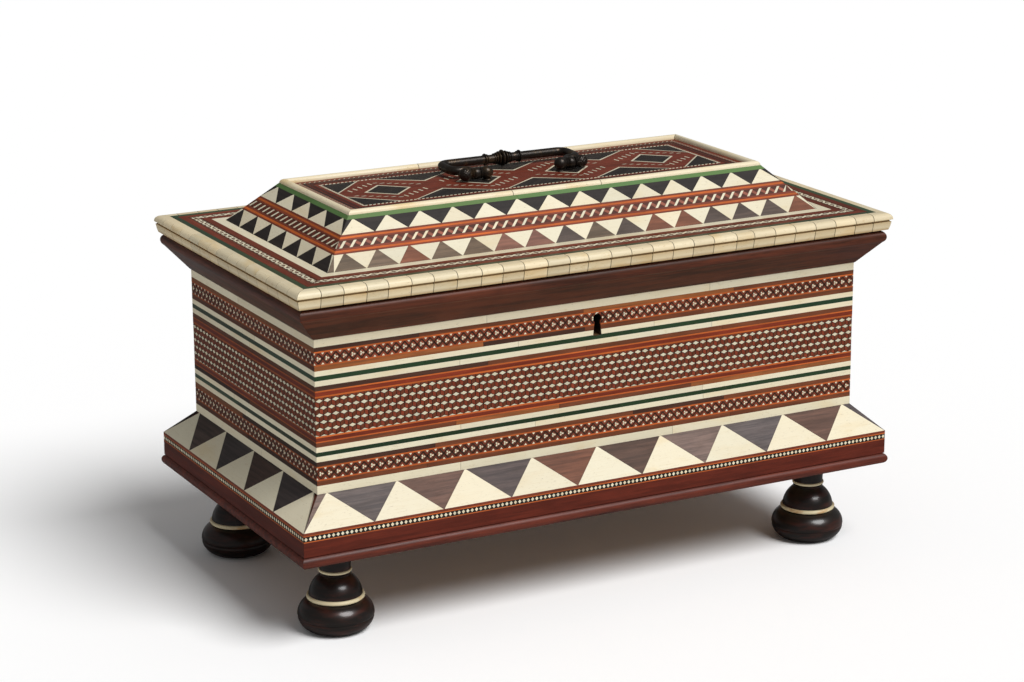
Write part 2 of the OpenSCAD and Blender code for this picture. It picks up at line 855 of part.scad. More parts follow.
module lid_edge_moulding() {
    color(bone) difference() {
        for (s = sides) run(s) moulding_section();
        for (s = sides) on_side(s) {
            length = side_len(s) + 2 * lid_out;
            count = round(length / block_len);
            for (i = [1 : count - 1])
                translate([i * length / count - length / 2, -lid_out / 2 - 2, border_z - rim_h / 2])
                    cube([kerf, lid_out + 6, rim_h + 2], center = true);
        }
        knuckle_notches();
        lid_leaf_recesses();
    }
}

// Flat border of the lid, from the edge moulding inwards
green_out = lid_out - moulding_w;
brown_out = green_out - border_green_w;
rope_out = brown_out - border_brown_w;
inner_brown_out = rope_out - border_rope_w;
fillet_out = inner_brown_out - border_brown_w;
module border_band(out_a, out_b) {
    for (s = sides) run(s) section(out_a, out_b, border_z - veneer, border_z);
}
module lid_border_mosaic() {
    color(mosaic) {
        border_band(brown_out - border_brown_w, brown_out);
        border_band(rope_out - border_rope_w, rope_out);
        border_band(fillet_out, inner_brown_out);
    }
}
module lid_bone_fillet() {
    color(bone) border_band(-hip_in, fillet_out);
}

// Bands of the slope, measured up the slope from its foot
upper_row_top = slope_len - slope_green_h;
upper_row_low = upper_row_top - upper_row_h;
lower_row_top = upper_row_low - rope_band_h;
module lid_green_lines() {
    color(bright_green) for (s = sides) run(s) lid_layer(0, veneer, upper_row_top, slope_len);
    color(green) border_band(brown_out, green_out);
}
module lid_rope_band() {
    color(striped) for (s = sides) run(s) lid_layer(0, veneer, lower_row_top, upper_row_low);
}
module on_lid(s) {
    on_slope(s, -hip_in, border_z, slope_run, slope_rise) children();
}
function lid_half(s, up) = side_len(s) / 2 - hip_in - up * slope_run / slope_len;
function upper_count(s) = per_side(s, upper_count_x, upper_count_y);
function upper_pitch(s) = 2 * lid_half(s, upper_row_low) / upper_count(s);
function lower_count(s) = per_side(s, lower_count_x, lower_count_y);
function lower_pitch(s) = (2 * lid_half(s, 0)) / lower_count(s);
module lid_bone_triangles() {
    color(bone) for (s = sides) on_lid(s) {
        upright_row(upper_count(s), upper_pitch(s), upper_row_low, upper_row_top);
        hanging_row(lower_count(s), lower_pitch(s), 0, lower_row_top);
    }
}
module lid_dark_triangles() {
    color(ebony) for (s = sides) on_lid(s) {
        hanging_row(upper_count(s), upper_pitch(s), upper_row_low, upper_row_top);
        upright_row(lower_count(s), lower_pitch(s), 0, lower_row_top);
    }
}

// The top: a half-round bone bead round a panel of strapwork
top_in = hip_in + slope_run;
module lid_top_bead() {
    r = top_bead_w / 2;
    color(bone) for (s = sides) run(s) difference() {
        union() {
            section(-top_in - top_bead_w, -top_in, board_top, panel_z);
            translate([-top_in - r, panel_z]) circle(r);
        }
        section(-top_in - top_bead_w - 1, -top_in + 1, board_top - 9, board_top);
        lid_layer(-1, veneer, 0, slope_len);
    }
}
panel_x = body_w / 2 - top_in - top_bead_w;
panel_y = body_d / 2 - top_in - top_bead_w;
ground_x = panel_x - panel_border_w;
ground_y = panel_y - panel_border_w;
cell = 2 * ground_x / panel_cells;
triangle_base = (cell - triangle_gap) / 2;
triangle_rise = (1 - tip_share) * ground_y;
module lozenge(half_x, half_y) {
    polygon([[-half_x, 0], [0, -half_y], [half_x, 0], [0, half_y]]);
}
// The black pieces between the straps
module ground_pieces() {
    for (i = [0 : panel_cells - 1])
        translate([(i + 0.5) * cell - ground_x, 0])
            lozenge(cell / 2 - node_clear, lozenge_share * ground_y);
    for (y = [0, 1]) mirror([0, y]) translate([0, -ground_y]) {
        for (i = [1 : panel_cells - 1]) translate([i * cell - ground_x, 0])
            polygon([[-triangle_base, 0], [triangle_base, 0], [0, triangle_rise]]);
        for (x = [0, 1]) mirror([x, 0]) translate([-ground_x, 0])
            polygon([[0, 0], [cell / 2 - corner_clear, 0], [0, ground_y - corner_clear]]);
    }
}
module panel_layer() {
    difference() {
        translate([0, 0, board_top]) linear_extrude(veneer) children();
        at_posts() shank(0.05);
    }
}
module top_panel_ground() {
    color(ebony) panel_layer() ground_pieces();
}
module top_panel_strapwork() {
    color(mosaic) panel_layer() difference() {
        square([2 * panel_x, 2 * panel_y], center = true);
        ground_pieces();
    }
}

// The staple under the lid that the bolt enters
plate_w = 22;
plate_d = 10;
plate_t = 1.2;
module staple_plate(grow) {
    translate([-plate_w / 2 - grow, bolt_y - plate_d / 2 - grow, rim_z])
        cube([plate_w + 2 * grow, plate_d + 2 * grow, plate_t + grow]);
}
module lid_staple() {
    color(iron) difference() {
        union() {
            staple_plate(0);
            translate([-staple_t / 2, bolt_y - staple_w / 2, rim_z - staple_drop])
                cube([staple_t, staple_w, staple_drop + 0.5]);
        }
        translate([-staple_t, bolt_y - eye_w / 2, bolt_z - bolt_h / 2 - bolt_gap])
            cube([2 * staple_t, eye_w, eye_h]);
    }
}

// The bail handle lies back on the top panel, on the large ring of its bar
rest_gap = 0.3;
pivot_z = panel_z + pivot_h;
bail_tilt = asin((knob_r + rest_gap - pivot_h) / bail_reach);
eye_half = bail_r + 0.2;
cheek = eye_half + 0.3;
arm_y = bail_reach - 2 * curl_r - curl_flat;
curl_x = pivot_x + elbow_r;
// A quarter of a round ring of bar, in the quadrant that starts at a corner
module tube_arc(r, corner) {
    reach = r + bail_r + 1;
    intersection() {
        rotate_extrude() translate([r, 0]) circle(bail_r);
        translate([corner[0] * reach, corner[1] * reach, -reach])
            cube([reach, reach, 2 * reach]);
    }
}
module half_bail() {
    translate([0, bail_reach, 0]) rotate([0, 90, 0]) cylinder(r = bail_r, h = curl_x);
    translate([curl_x, bail_reach - curl_r, 0]) tube_arc(curl_r, [0, 0]);
    translate([curl_x + curl_r, arm_y + curl_r, 0]) rotate([-90, 0, 0])
        cylinder(r = bail_r, h = curl_flat);
    translate([curl_x, arm_y + curl_r, 0]) tube_arc(curl_r, [0, -1]);
    translate([curl_x, arm_y - elbow_r, 0]) tube_arc(elbow_r, [-1, 0]);
    translate([pivot_x, arm_y - elbow_r, 0]) rotate([90, 0, 0])
        cylinder(r = bail_r, h = arm_y - elbow_r);
    translate([pivot_x, 0, 0]) rotate([0, 90, 0])
        cylinder(r = eye_r, h = 2 * eye_half, center = true);
}
// Smaller rings on the bar: place along it, radius and thickness
bar_rings = [[4, 4.2, 1.8], [7.4, 3.6, 1.6], [12.4, 4.1, 1.8]];
module bar_ring(ring) {
    translate([ring[0], bail_reach, 0]) rotate([0, 90, 0])
        translate([0, 0, -ring[2] / 2]) rounded_disc(ring[1], ring[2]);
}
module handle_bail() {
    color(bronze) translate([handle_x, handle_y, pivot_z]) rotate([bail_tilt, 0, 0])
        difference() {
            union() {
                half_bail();
                mirror([1, 0, 0]) half_bail();
                bar_ring([0, knob_r, 2.4]);
                for (ring = bar_rings) {
                    bar_ring(ring);
                    mirror([1, 0, 0]) bar_ring(ring);
                }
            }
            rotate([0, 90, 0]) for (x = [-pivot_x, pivot_x])
                translate([0, 0, x]) cylinder(r = waist_r + 0.05, h = 4 * eye_half, center = true);
        }
}

// A handle post: acorn outside, waist through the bail's eye, bud inside on a screwed shank
bud_x = pivot_x - cheek - bud_len / 2;
shank_end = board_bottom - nut_t - 2;
module at_posts() {
    for (x = [-bud_x, bud_x]) translate([handle_x + x, handle_y, 0]) children();
}
module shank(grow) {
    translate([0, 0, shank_end]) cylinder(r = shank_r + grow, h = pivot_z - shank_end);
}
module turned(x) {
    translate([x, 0, 0]) rotate([0, 90, 0]) children();
}
module handle_post() {
    acorn_base = pivot_x + cheek;
    bud_base = pivot_x - cheek;
    translate([0, 0, pivot_z]) {
        turned(bud_base - 1) cylinder(r = waist_r, h = 2 * cheek + 2);
        turned(acorn_base) cylinder(r = eye_r - 0.4, h = 1.4);
        turned(acorn_base + acorn_r) sphere(acorn_r);
        turned(acorn_base + acorn_r + 2.6)
            cylinder(r1 = 3.3, r2 = 0.7, h = acorn_len - acorn_r - 2.6);
        turned(bud_base - 1.4) cylinder(r = eye_r - 0.4, h = 1.4);
        turned(bud_base - acorn_r) sphere(acorn_r);
        turned(bud_base - bud_len) cylinder(r1 = 1, r2 = 3.3, h = bud_len - acorn_r - 2.4);
    }
    translate([bud_x, 0, 0]) shank(0);
    translate([bud_x, 0, panel_z]) cylinder(r = shank_r + 1.4, h = 0.8);
}
module left_handle_post() {
    color(bronze) translate([handle_x, handle_y, 0]) mirror([1, 0, 0]) handle_post();
}
module right_handle_post() {
    color(bronze) translate([handle_x, handle_y, 0]) handle_post();
}
module handle_nuts() {
    color(iron) at_posts() translate([0, 0, board_bottom - nut_t]) difference() {
        cylinder(r = 2 * shank_r + 0.6, h = nut_t, $fn = 4);
        translate([0, 0, -1]) cylinder(r = shank_r + 0.05, h = nut_t + 2);
    }
}

front_wall();
back_wall();
left_wall();
right_wall();
bottom_board();
plinth_side(front);  // plinth_front
plinth_side(back);  // plinth_back
plinth_side(left);  // plinth_left
plinth_side(right);  // plinth_right
plinth_bead();
cornice_side(front);  // cornice_front
cornice_side(back);  // cornice_back
cornice_side(left);  // cornice_left
cornice_side(right);  // cornice_right
wall_bone_bands();
wall_green_lines();
wall_striped_strips();
guilloche_bands();
centre_mosaic_band();
plinth_bone_triangles();
plinth_rosewood_triangles();
plinth_edge_veneer();
foot(-1, -1);  // foot_front_left
foot(1, -1);  // foot_front_right
foot(-1, 1);  // foot_back_left
foot(1, 1);  // foot_back_right
foot_bone_rings();
lock_case();
lock_cover();
lock_spring();
lock_rivets();
lock_bolt();
hinge_case_leaves();
hinge_pins();
case_hinge_screws();
knife_racks();
lid_frame();
lid_slope(front);  // lid_front_slope
lid_slope(back);  // lid_back_slope
lid_slope(left);  // lid_left_slope
lid_slope(right);  // lid_right_slope
lid_top_board();
lid_edge_moulding();
lid_bone_triangles();
lid_dark_triangles();
lid_green_lines();
lid_rope_band();
lid_bone_fillet();
lid_border_mosaic();
lid_top_bead();
top_panel_ground();
top_panel_strapwork();
hinge_lid_leaves();
lid_hinge_screws();
lid_staple();
handle_bail();
left_handle_post();
right_handle_post();
handle_nuts();
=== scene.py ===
# %% [markdown]
# # An antique knife box in bone and mosaic
#
# The box is a carcass of plain boards under a skin of veneer: bone lines, green-stained bone,
# striped woods, bands of tiny tumbling blocks and guilloche, and rows of triangles.
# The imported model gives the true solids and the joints. This script keeps what is right there,
# and lays the veneer over it piece by piece, because the real box was made that way too.

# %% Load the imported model
import json
import math

import bpy
import numpy as np
from mathutils import Matrix, Vector


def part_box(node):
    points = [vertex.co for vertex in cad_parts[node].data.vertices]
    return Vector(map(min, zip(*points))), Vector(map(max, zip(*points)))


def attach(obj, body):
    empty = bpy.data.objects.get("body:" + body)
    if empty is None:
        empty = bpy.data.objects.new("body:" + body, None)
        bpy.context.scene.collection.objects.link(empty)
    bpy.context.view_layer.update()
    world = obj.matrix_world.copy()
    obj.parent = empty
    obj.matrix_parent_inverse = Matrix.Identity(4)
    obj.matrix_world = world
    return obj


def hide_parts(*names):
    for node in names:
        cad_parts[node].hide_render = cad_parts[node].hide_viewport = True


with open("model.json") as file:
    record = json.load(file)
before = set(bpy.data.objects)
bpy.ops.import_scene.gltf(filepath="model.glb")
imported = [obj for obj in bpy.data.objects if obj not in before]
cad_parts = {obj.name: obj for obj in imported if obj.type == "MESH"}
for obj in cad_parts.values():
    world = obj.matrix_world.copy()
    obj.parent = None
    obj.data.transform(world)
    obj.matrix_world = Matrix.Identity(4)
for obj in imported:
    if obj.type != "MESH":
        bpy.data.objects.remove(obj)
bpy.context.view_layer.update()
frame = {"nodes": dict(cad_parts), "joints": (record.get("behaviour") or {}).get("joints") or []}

mm = 0.001
rng = np.random.default_rng(1784)

# %% [markdown]
# ## Camera
#
# The camera stands left of the box, above the lid, and looks down a little. Its place and its
# turn are real metres and degrees in the frame of the part. A long lens keeps the box's sides
# nearly parallel, as in a catalogue photograph. The view direction, the level direction and
# the upward one make the three columns of the camera's matrix.

# %% Place the camera
camera_at = Vector((-0.8084, -1.5032, 0.6202))
yaw, pitch, roll = (math.radians(a) for a in (28.02, 15.77, -0.27))
sensor_width = 36
lens = 96.41

look = Vector((math.sin(yaw) * math.cos(pitch), math.cos(yaw) * math.cos(pitch), -math.sin(pitch)))
level = Vector((math.cos(yaw), -math.sin(yaw), 0))
above = level.cross(look)
across = level * math.cos(roll) + above * math.sin(roll)
upright = above * math.cos(roll) - level * math.sin(roll)
camera_data = bpy.data.cameras.new("camera")
camera_data.sensor_width = sensor_width
camera_data.lens = lens
camera = bpy.data.objects.new("camera", camera_data)
camera.matrix_world = (Matrix.Translation(camera_at)
                       @ Matrix((across, upright, -look)).transposed().to_4x4())
bpy.context.scene.collection.objects.link(camera)
bpy.context.scene.camera = camera
print("camera looks along", [round(v, 3) for v in look])

# %% [markdown]
# ## Shader maths as plain expressions
#
# A material is a graph of nodes. Written by hand it takes a dozen lines to add two numbers, so
# a small class wraps a socket, and Python's own operators add the Math nodes. Everything that
# isn't arithmetic goes through one method, which takes a node's type, settings and inputs.

# %% Wrap sockets and node trees
class Value:
    """A node's output. Arithmetic on it adds Math nodes to the same tree."""

    def __init__(self, tree, socket):
        self.tree, self.socket = tree, socket

    def maths(self, operation, *terms):
        """A Math node on values or plain numbers, in the order of its sockets."""
        return self.tree.node("Math", {"operation": operation}, dict(enumerate(terms)))

    def __add__(self, other): return self.maths("ADD", self, other)
    def __mul__(self, other): return self.maths("MULTIPLY", self, other)
    def __radd__(self, other): return self.maths("ADD", other, self)
    def __rsub__(self, other): return self.maths("SUBTRACT", other, self)
    def __rmul__(self, other): return self.maths("MULTIPLY", other, self)

    def rises(self, low, high):
        """0 below low, 1 above high, and a smooth step between."""
        return self.tree.node("MapRange", {"interpolation_type": "SMOOTHSTEP"},
                              {"Value": self, "From Min": low, "From Max": high})


class Nodes:
    """A node tree with one method that makes any node."""

    def __init__(self, tree):
        self.tree = tree
        tree.nodes.clear()

    def node(self, kind, settings=None, inputs=None, output=0):
        """Adds a node, sets its settings first, then the values or links of its sockets."""
        made = self.tree.nodes.new("ShaderNode" + kind)
        for key, value in (settings or {}).items():
            if key == "stops":
                while len(made.color_ramp.elements) < len(value):
                    made.color_ramp.elements.new(1)
                for element, (place, colour) in zip(made.color_ramp.elements, value):
                    element.position, element.color = place, (*colour, 1)
            else:
                setattr(made, key, value)
        for key, value in (inputs or {}).items():
            self.feed(made.inputs[key], value)
        return Value(self, made.outputs[output])

    def feed(self, socket, value):
        """Links a node's output to a socket, or sets a number or colour there."""
        if isinstance(value, Value):
            self.tree.links.new(value.socket, socket)
        elif socket.type == "RGBA" and len(value) == 3:
            socket.default_value = (*value, 1)
        else:
            socket.default_value = value

    def mix(self, share, a, b):
        """Colour a where share is 0 and b where it is 1."""
        return self.node("Mix", {"data_type": "RGBA"}, {0: share, 6: a, 7: b}, output=2)

    def tinted(self, colour, factor):
        """A colour times a colour."""
        return self.node("Mix", {"data_type": "RGBA", "blend_type": "MULTIPLY"},
                         {0: 1.0, 6: colour, 7: factor}, output=2)

    def scaled(self, vector, scale):
        """A vector times a scale for each axis."""
        return self.node("VectorMath", {"operation": "MULTIPLY"}, {0: vector, 1: scale})

    def noise(self, vector, scale, detail=3, roughness=0.55):
        """Noise on a vector that is first stretched by a scale for each axis, per metre."""
        return self.node("TexNoise", {}, {"Vector": self.scaled(vector, scale), "Scale": 1.0,
                                          "Detail": detail, "Roughness": roughness})

    def attribute(self, name, output="Vector"):
        """What the mesh stores under a name."""
        return self.node("Attribute", {"attribute_name": name}, output=output)

    def local(self):
        """The place in the piece's own frame, in metres."""
        return self.node("TexCoord", output="Object")


class Finish(Nodes):
    """A material with one Principled shader; put() sets or links one of its sockets."""

    def __init__(self, name, **sockets):
        self.material = bpy.data.materials.new(name)
        self.material.use_nodes = True
        super().__init__(self.material.node_tree)
        self.shader = self.tree.nodes.new("ShaderNodeBsdfPrincipled")
        out = self.tree.nodes.new("ShaderNodeOutputMaterial")
        self.tree.links.new(self.shader.outputs[0], out.inputs["Surface"])
        self.put(**sockets)

    def put(self, **sockets):
        for name, value in sockets.items():
            self.feed(self.shader.inputs[name.replace("_", " ")], value)

    def bump(self, height, depth, strength=1.0):
        """Relief of a real depth in metres, where height runs from 0 to 1."""
        self.put(Normal=self.node("Bump", {}, {"Height": height, "Distance": depth,
                                               "Strength": strength}))


def rgb(red, green, blue):
    """A screen colour from 0 to 255 as the linear light that shaders use."""
    c = np.array([red, green, blue], float) / 255
    return np.where(c <= 0.04045, c / 12.92, ((c + 0.055) / 1.055) ** 2.4)

# %% [markdown]
# ## Colours of the pieces
#
# The maker had bone, bone boiled in green copper stain, and woods from orange to black. Each
# piece of veneer carries its own colour as an attribute, chosen near one of these names.

# %% Name the colours
BONE = rgb(221, 212, 186)
WALL_BONE = rgb(220, 210, 182)
GREEN = rgb(34, 58, 36)
BRIGHT_GREEN = rgb(84, 116, 62)
DARK_GREEN = rgb(48, 68, 44)
ORANGE = rgb(186, 92, 36)
DARK_RED = rgb(122, 46, 24)
BROWN = rgb(112, 62, 38)
TAN = rgb(154, 92, 48)
RED_BROWN = rgb(124, 58, 38)
MOSAIC_RED = rgb(124, 54, 32)
MOSAIC_BROWN = rgb(102, 52, 30)
PINK_WOOD = rgb(146, 86, 68)
PLINTH_RED = rgb(92, 34, 20)
BORDER_WOOD = rgb(108, 50, 34)
STRAP_WOOD = rgb(112, 50, 34)
LATTICE = rgb(60, 42, 30)
ROPE_GROUND = rgb(84, 44, 32)
TWIST_GROUND = rgb(84, 48, 34)
DARK_LINE = rgb(70, 34, 26)
OAK, DARK_OAK = rgb(150, 116, 78), rgb(112, 80, 50)
EBONY = rgb(42, 37, 35)
GLUE = rgb(34, 26, 20)


def vary(colour, count, amount):
    """Colours round one colour: each piece lighter or darker, and a little warmer or cooler."""
    light = 1 + amount * rng.uniform(-1, 1, (count, 1))
    warm = 0.35 * amount * rng.uniform(-1, 1, (count, 1))
    return np.clip(colour * light * (1 + warm * np.array([1, 0, -1])), 0, 1)


def between(a, b, share):
    """Colours between a and b, one for each share."""
    share = np.asarray(share)[..., None]
    return a * (1 - share) + b * share

# %% [markdown]
# ## Materials
#
# Two attributes drive all veneer: "stain", the piece's colour, which darkens in its joints, and
# "grain", metres along and across its grain, with a third number that differs from piece to
# piece. Noise stretched along the grain makes streaks; a finer one makes the pores.
# Bone has faint long streaks, short dark pores and soft yellow clouds.

# %% Veneer of wood and bone
WOOD_PORE, BONE_PORE = (0.012, 0.008, 0.006), (0.19, 0.12, 0.06)


def veneer_wood(name, streak, roughness):
    """Wood from the attributes: streak says how strongly dark and light lines alternate."""
    f = Finish(name, Specular_IOR_Level=0.22)
    grain, stain = f.attribute("grain"), f.attribute("stain", "Color")
    broad = f.noise(grain, (22, 420, 1), 4)
    fine = f.noise(grain, (90, 2600, 1), 3, 0.7)
    pores = f.noise(grain, (160, 5200, 1), 2, 0.6).rises(0.58, 0.72)
    mask = (broad * 0.65 + fine * 0.35).rises(0.34, 0.66)
    dark = f.tinted(stain, tuple([1 - 0.62 * streak] * 3))
    light = f.tinted(stain, (1 + 0.5 * streak, 1 + 0.4 * streak, 1 + 0.3 * streak))
    blotches = f.noise(grain, (30, 90, 1), 4, 0.6).rises(0.45, 0.65)
    body = f.mix(blotches * 0.5, f.mix(mask, dark, light), f.tinted(stain, (0.66, 0.61, 0.55)))
    f.put(Base_Color=f.mix(pores * (0.55 * streak), body, WOOD_PORE),
          Roughness=roughness + 0.16 * fine)
    f.bump(1 - pores, 0.00006, 0.5)
    return f.material


def veneer_bone(name, age):
    """Bone from the attributes: age adds yellow clouds and more dirt in the pores."""
    f = Finish(name, Specular_IOR_Level=0.3)
    grain, stain = f.attribute("grain"), f.attribute("stain", "Color")
    clouds = f.noise(grain, (26, 70, 1), 3).rises(0.5, 0.75)
    lines = f.noise(grain, (60, 1900, 1), 3, 0.65).rises(0.5, 0.8)
    pores = f.noise(grain, (420, 3600, 1), 2, 0.5).rises(0.66, 0.74)
    spots = f.noise(grain, (130, 260, 1), 4, 0.7).rises(0.6, 0.72)
    body = f.mix(clouds * age, stain, f.tinted(stain, (0.93, 0.80, 0.58)))
    body = f.mix(lines * 0.5, body, f.tinted(stain, (0.84, 0.76, 0.62)))
    body = f.mix(spots * (0.5 * age), body, f.tinted(stain, (0.74, 0.58, 0.36)))
    f.put(Base_Color=f.mix(pores * (0.35 + 0.3 * age), body, BONE_PORE),
          Roughness=0.34 + 0.2 * lines)
    f.bump(1 - pores, 0.00008, 0.5)
    return f.material


wood_veneer = veneer_wood("veneer_wood", 0.45, 0.4)
streaky_veneer = veneer_wood("veneer_rosewood", 0.6, 0.38)
bone_veneer = veneer_bone("veneer_bone", 0.45)
fine_bone = veneer_bone("veneer_bone_small", 0.25)
aged_bone = veneer_bone("veneer_bone_aged", 0.85)
print("veneer finishes", [m.name for m in (wood_veneer, streaky_veneer, bone_veneer,
                                         fine_bone, aged_bone)])

# %% [markdown]
# Solid wood, metal and the plain boards take Object coordinates, since their solids come from
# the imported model. The grain runs along the piece, so each wood names its axis.

# %% Solid wood and metal
def solid_wood(name, colour, dark, axis, roughness=0.36, coat=0.05):
    """Wood whose grain runs along one axis: noise is stretched about 19 times along it."""
    f = Finish(name, Specular_IOR_Level=0.3, Coat_Weight=coat, Coat_Roughness=0.22)
    along, cross = 14, 260
    scale = [cross, cross, cross]
    scale["xyz".index(axis)] = along
    place = f.local()
    broad = f.noise(place, tuple(scale), 4)
    fine = f.noise(place, tuple(6 * s for s in scale), 3, 0.7)
    wear = f.noise(place, (18, 18, 18), 3).rises(0.52, 0.72)
    mask = (broad * 0.6 + fine * 0.4).rises(0.36, 0.64)
    body = f.mix(mask, tuple(colour), tuple(dark))
    f.put(Base_Color=f.mix(wear * 0.35, body, tuple(np.array(colour) * 1.35)),
          Roughness=roughness + 0.14 * fine)
    f.bump(fine, 0.00007, 0.4)
    return f.material


def metal(name, colour, stain, roughness, metallic):
    """Metal with clouds of tarnish, duller where it is stained."""
    f = Finish(name)
    place = f.local()
    clouds = f.noise(place, (60, 60, 60), 5, 0.65).rises(0.42, 0.62)
    specks = f.noise(place, (1400, 1400, 1400), 2).rises(0.6, 0.75)
    body = f.mix(clouds, tuple(colour), tuple(stain))
    f.put(Base_Color=f.mix(specks * 0.4, body, tuple(np.array(stain) * 0.5)),
          Roughness=roughness + 0.2 * clouds, Metallic=metallic - 0.25 * clouds)
    f.bump(specks, 0.00005, 0.4)
    return f.material


cornice_wood = {a: solid_wood("cornice_wood_" + a, rgb(94, 44, 24), rgb(56, 27, 14), a)
                for a in "xy"}
red_wood = {a: solid_wood("red_wood_" + a, rgb(104, 44, 28), rgb(64, 27, 19), a) for a in "xy"}
board = {a: solid_wood("board_" + a, OAK, DARK_OAK, a, 0.55, 0.0) for a in "xy"}
keyhole_z = 176.3 * mm


def keyhole_shaded_board(name, middle):
    """The front board, painted black round its keyhole, whose middle is at one height: painted
    shade that makes the keyhole read as a dark hole.
    """
    f = Finish(name, Roughness=0.7, Specular_IOR_Level=0.2)
    place = f.local()
    flat = f.scaled(place, (1, 0, 1))
    offset = f.node("VectorMath", {"operation": "DISTANCE"}, {0: flat, 1: (0, 0, middle)},
                    output=1)
    grain = f.noise(place, (14, 260, 260), 4)
    oak = f.mix(grain, tuple(OAK), tuple(DARK_OAK))
    # Near the keyhole the oak turns near black: painted shade for the dark hole.
    f.put(Base_Color=f.mix(offset.rises(8 * mm, 14 * mm), WOOD_PORE, oak))
    return f.material


front_board = keyhole_shaded_board("front_board", keyhole_z)
iron = metal("iron", rgb(96, 92, 88), rgb(52, 44, 38), 0.42, 0.85)
brass = metal("brass", rgb(168, 138, 82), rgb(96, 74, 44), 0.36, 0.95)
print("solid finishes", len(cornice_wood) + len(red_wood) + len(board) + 3)

# %% [markdown]
# ## Measures of the box
#
# The sides are numbered anticlockwise from the front, as a cabinetmaker walks round a chest.
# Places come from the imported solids: the walls, the two slopes and the flat border. Strips
# that would lie flush with a board are lifted clear of it by a hair, or the two would flicker.

# %% Read the measures
wall_low, wall_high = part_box("wall_bone_bands")
half_x, half_y = wall_high.x, wall_high.y
plinth_edge_low, plinth_edge_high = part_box("plinth_edge_veneer")
plinth_out = plinth_edge_high.x - half_x
veneer = 1.2 * mm
plinth_slope_z = plinth_edge_high.z + veneer
border_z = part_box("lid_border_mosaic")[1].z
panel_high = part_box("top_panel_strapwork")[1]
top_in = half_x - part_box("lid_top_bead")[1].x
border_out, hip_in = 9.5 * mm, 17.7 * mm
SIDES = range(4)


def halves(side):
    """Half the box along a side, and half of it the other way."""
    return (half_x, half_y) if side % 2 == 0 else (half_y, half_x)


def directions(side):
    """Unit vectors along a side and out of it: each side is a quarter turn from the last."""
    c, s = math.cos(side * math.pi / 2), math.sin(side * math.pi / 2)
    return np.array([c, s, 0]), np.array([s, -c, 0])


class Slab:
    """A flat strip of one width that runs round the box. out is how far its lower edge stands
    out from the walls, z that edge's level, and lean its angle from lying flat, inwards."""

    def __init__(self, out, z, lean, width):
        self.out, self.z, self.lean, self.width = out, z, lean, width
        self.inward, self.rise = math.cos(lean), math.sin(lean)

    def half(self, side, v):
        """Half the strip's length at distance v from its lower edge; mitres shorten it."""
        return halves(side)[0] + self.out - np.asarray(v) * self.inward

    def place(self, side, u, v, h):
        """World points: u along the side, v up the strip, h out of its face. Deeper points
        are drawn back too, so that pieces meet on the mitre all the way down."""
        limit = self.half(side, v) + h * self.rise
        u = np.clip(u, -limit, limit)
        along, out = directions(side)
        reach = halves(side)[1] + self.out - v * self.inward + h * self.rise
        level = self.z + v * self.rise + h * self.inward
        return (u[..., None] * along + reach[..., None] * out
                + level[..., None] * np.array([0, 0, 1.0]))


quarter = math.pi / 2
wall = Slab(0, wall_low.z, quarter, wall_high.z - wall_low.z)
plinth_slope = Slab(plinth_out, plinth_slope_z,
                    math.atan2(wall_low.z - plinth_slope_z, plinth_out),
                    math.hypot(wall_low.z - plinth_slope_z, plinth_out))
clear_of_board = 0.05 * mm
plinth_edge = Slab(plinth_out + clear_of_board, plinth_edge_low.z, quarter,
                   plinth_slope_z - plinth_edge_low.z)
lid_border = Slab(border_out, border_z, 0.0, border_out + hip_in)
lid_slope = Slab(-hip_in, border_z, math.atan2(panel_high.z - border_z, top_in - hip_in),
                 math.hypot(panel_high.z - border_z, top_in - hip_in))
for name, slab in (("wall", wall), ("plinth slope", plinth_slope), ("lid slope", lid_slope)):
    print(name, "width", round(slab.width / mm, 1), "mm, lean",
          round(math.degrees(slab.lean), 1), "degrees")

# %% [markdown]
# The keyhole runs through several strips of the front. Its half width at each height is all
# that the inlay needs to know: strips are parted by it, and small pieces draw back from it.

# %% Shape of the keyhole
key_v = keyhole_z - wall_low.z
key_r, key_neck, key_flare, key_tail = 3 * mm, 1.8 * mm, 3 * mm, 11 * mm


def keyhole(v):
    """Half the keyhole's width at height v: a circle, and a tail that widens downwards."""
    down = key_v - v
    round_part = np.sqrt(np.clip(key_r ** 2 - down ** 2, 0, None))
    tail = np.where((down > 0) & (down < key_tail),
                    key_neck + (key_flare - key_neck) * down / key_tail, 0)
    return np.maximum(round_part, tail)

# %% [markdown]
# ## Laying inlay
#
# Every piece of inlay is a little prism: an outline, a face with eased edges, walls that go
# down into the glue, and a back. A modifier could bevel one, but thousands are quicker as one
# array: all outlines of a kind have the same number of corners, so their faces repeat too.

# %% Build meshes from arrays
def add_mesh(name, points, faces, body, slot, material, replaces=(), smooth=None, **attributes):
    """Makes a mesh piece. faces is a list of index arrays, one for each number of corners.
    smooth is the angle in degrees under which an edge is shaded round."""
    mesh = bpy.data.meshes.new(name)
    mesh.from_pydata(points.reshape(-1, 3), [], [f for block in faces for f in block.tolist()])
    for key, values in attributes.items():
        kind = "FLOAT_COLOR" if values.shape[-1] == 4 else "FLOAT_VECTOR"
        field = "color" if kind == "FLOAT_COLOR" else "vector"
        layer = mesh.attributes.new(key, kind, "POINT")
        layer.data.foreach_set(field, values.astype(np.float32).ravel())
    mesh.materials.append(material)
    if smooth is not None:
        mesh.polygons.foreach_set("use_smooth", np.ones(len(mesh.polygons), bool))
        mesh.set_sharp_from_angle(angle=math.radians(smooth))
    mesh.validate()
    piece = bpy.data.objects.new(name, mesh)
    bpy.context.scene.collection.objects.link(piece)
    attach(piece, body)
    if replaces:
        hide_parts(*replaces)
    print(name, len(mesh.polygons), "faces")


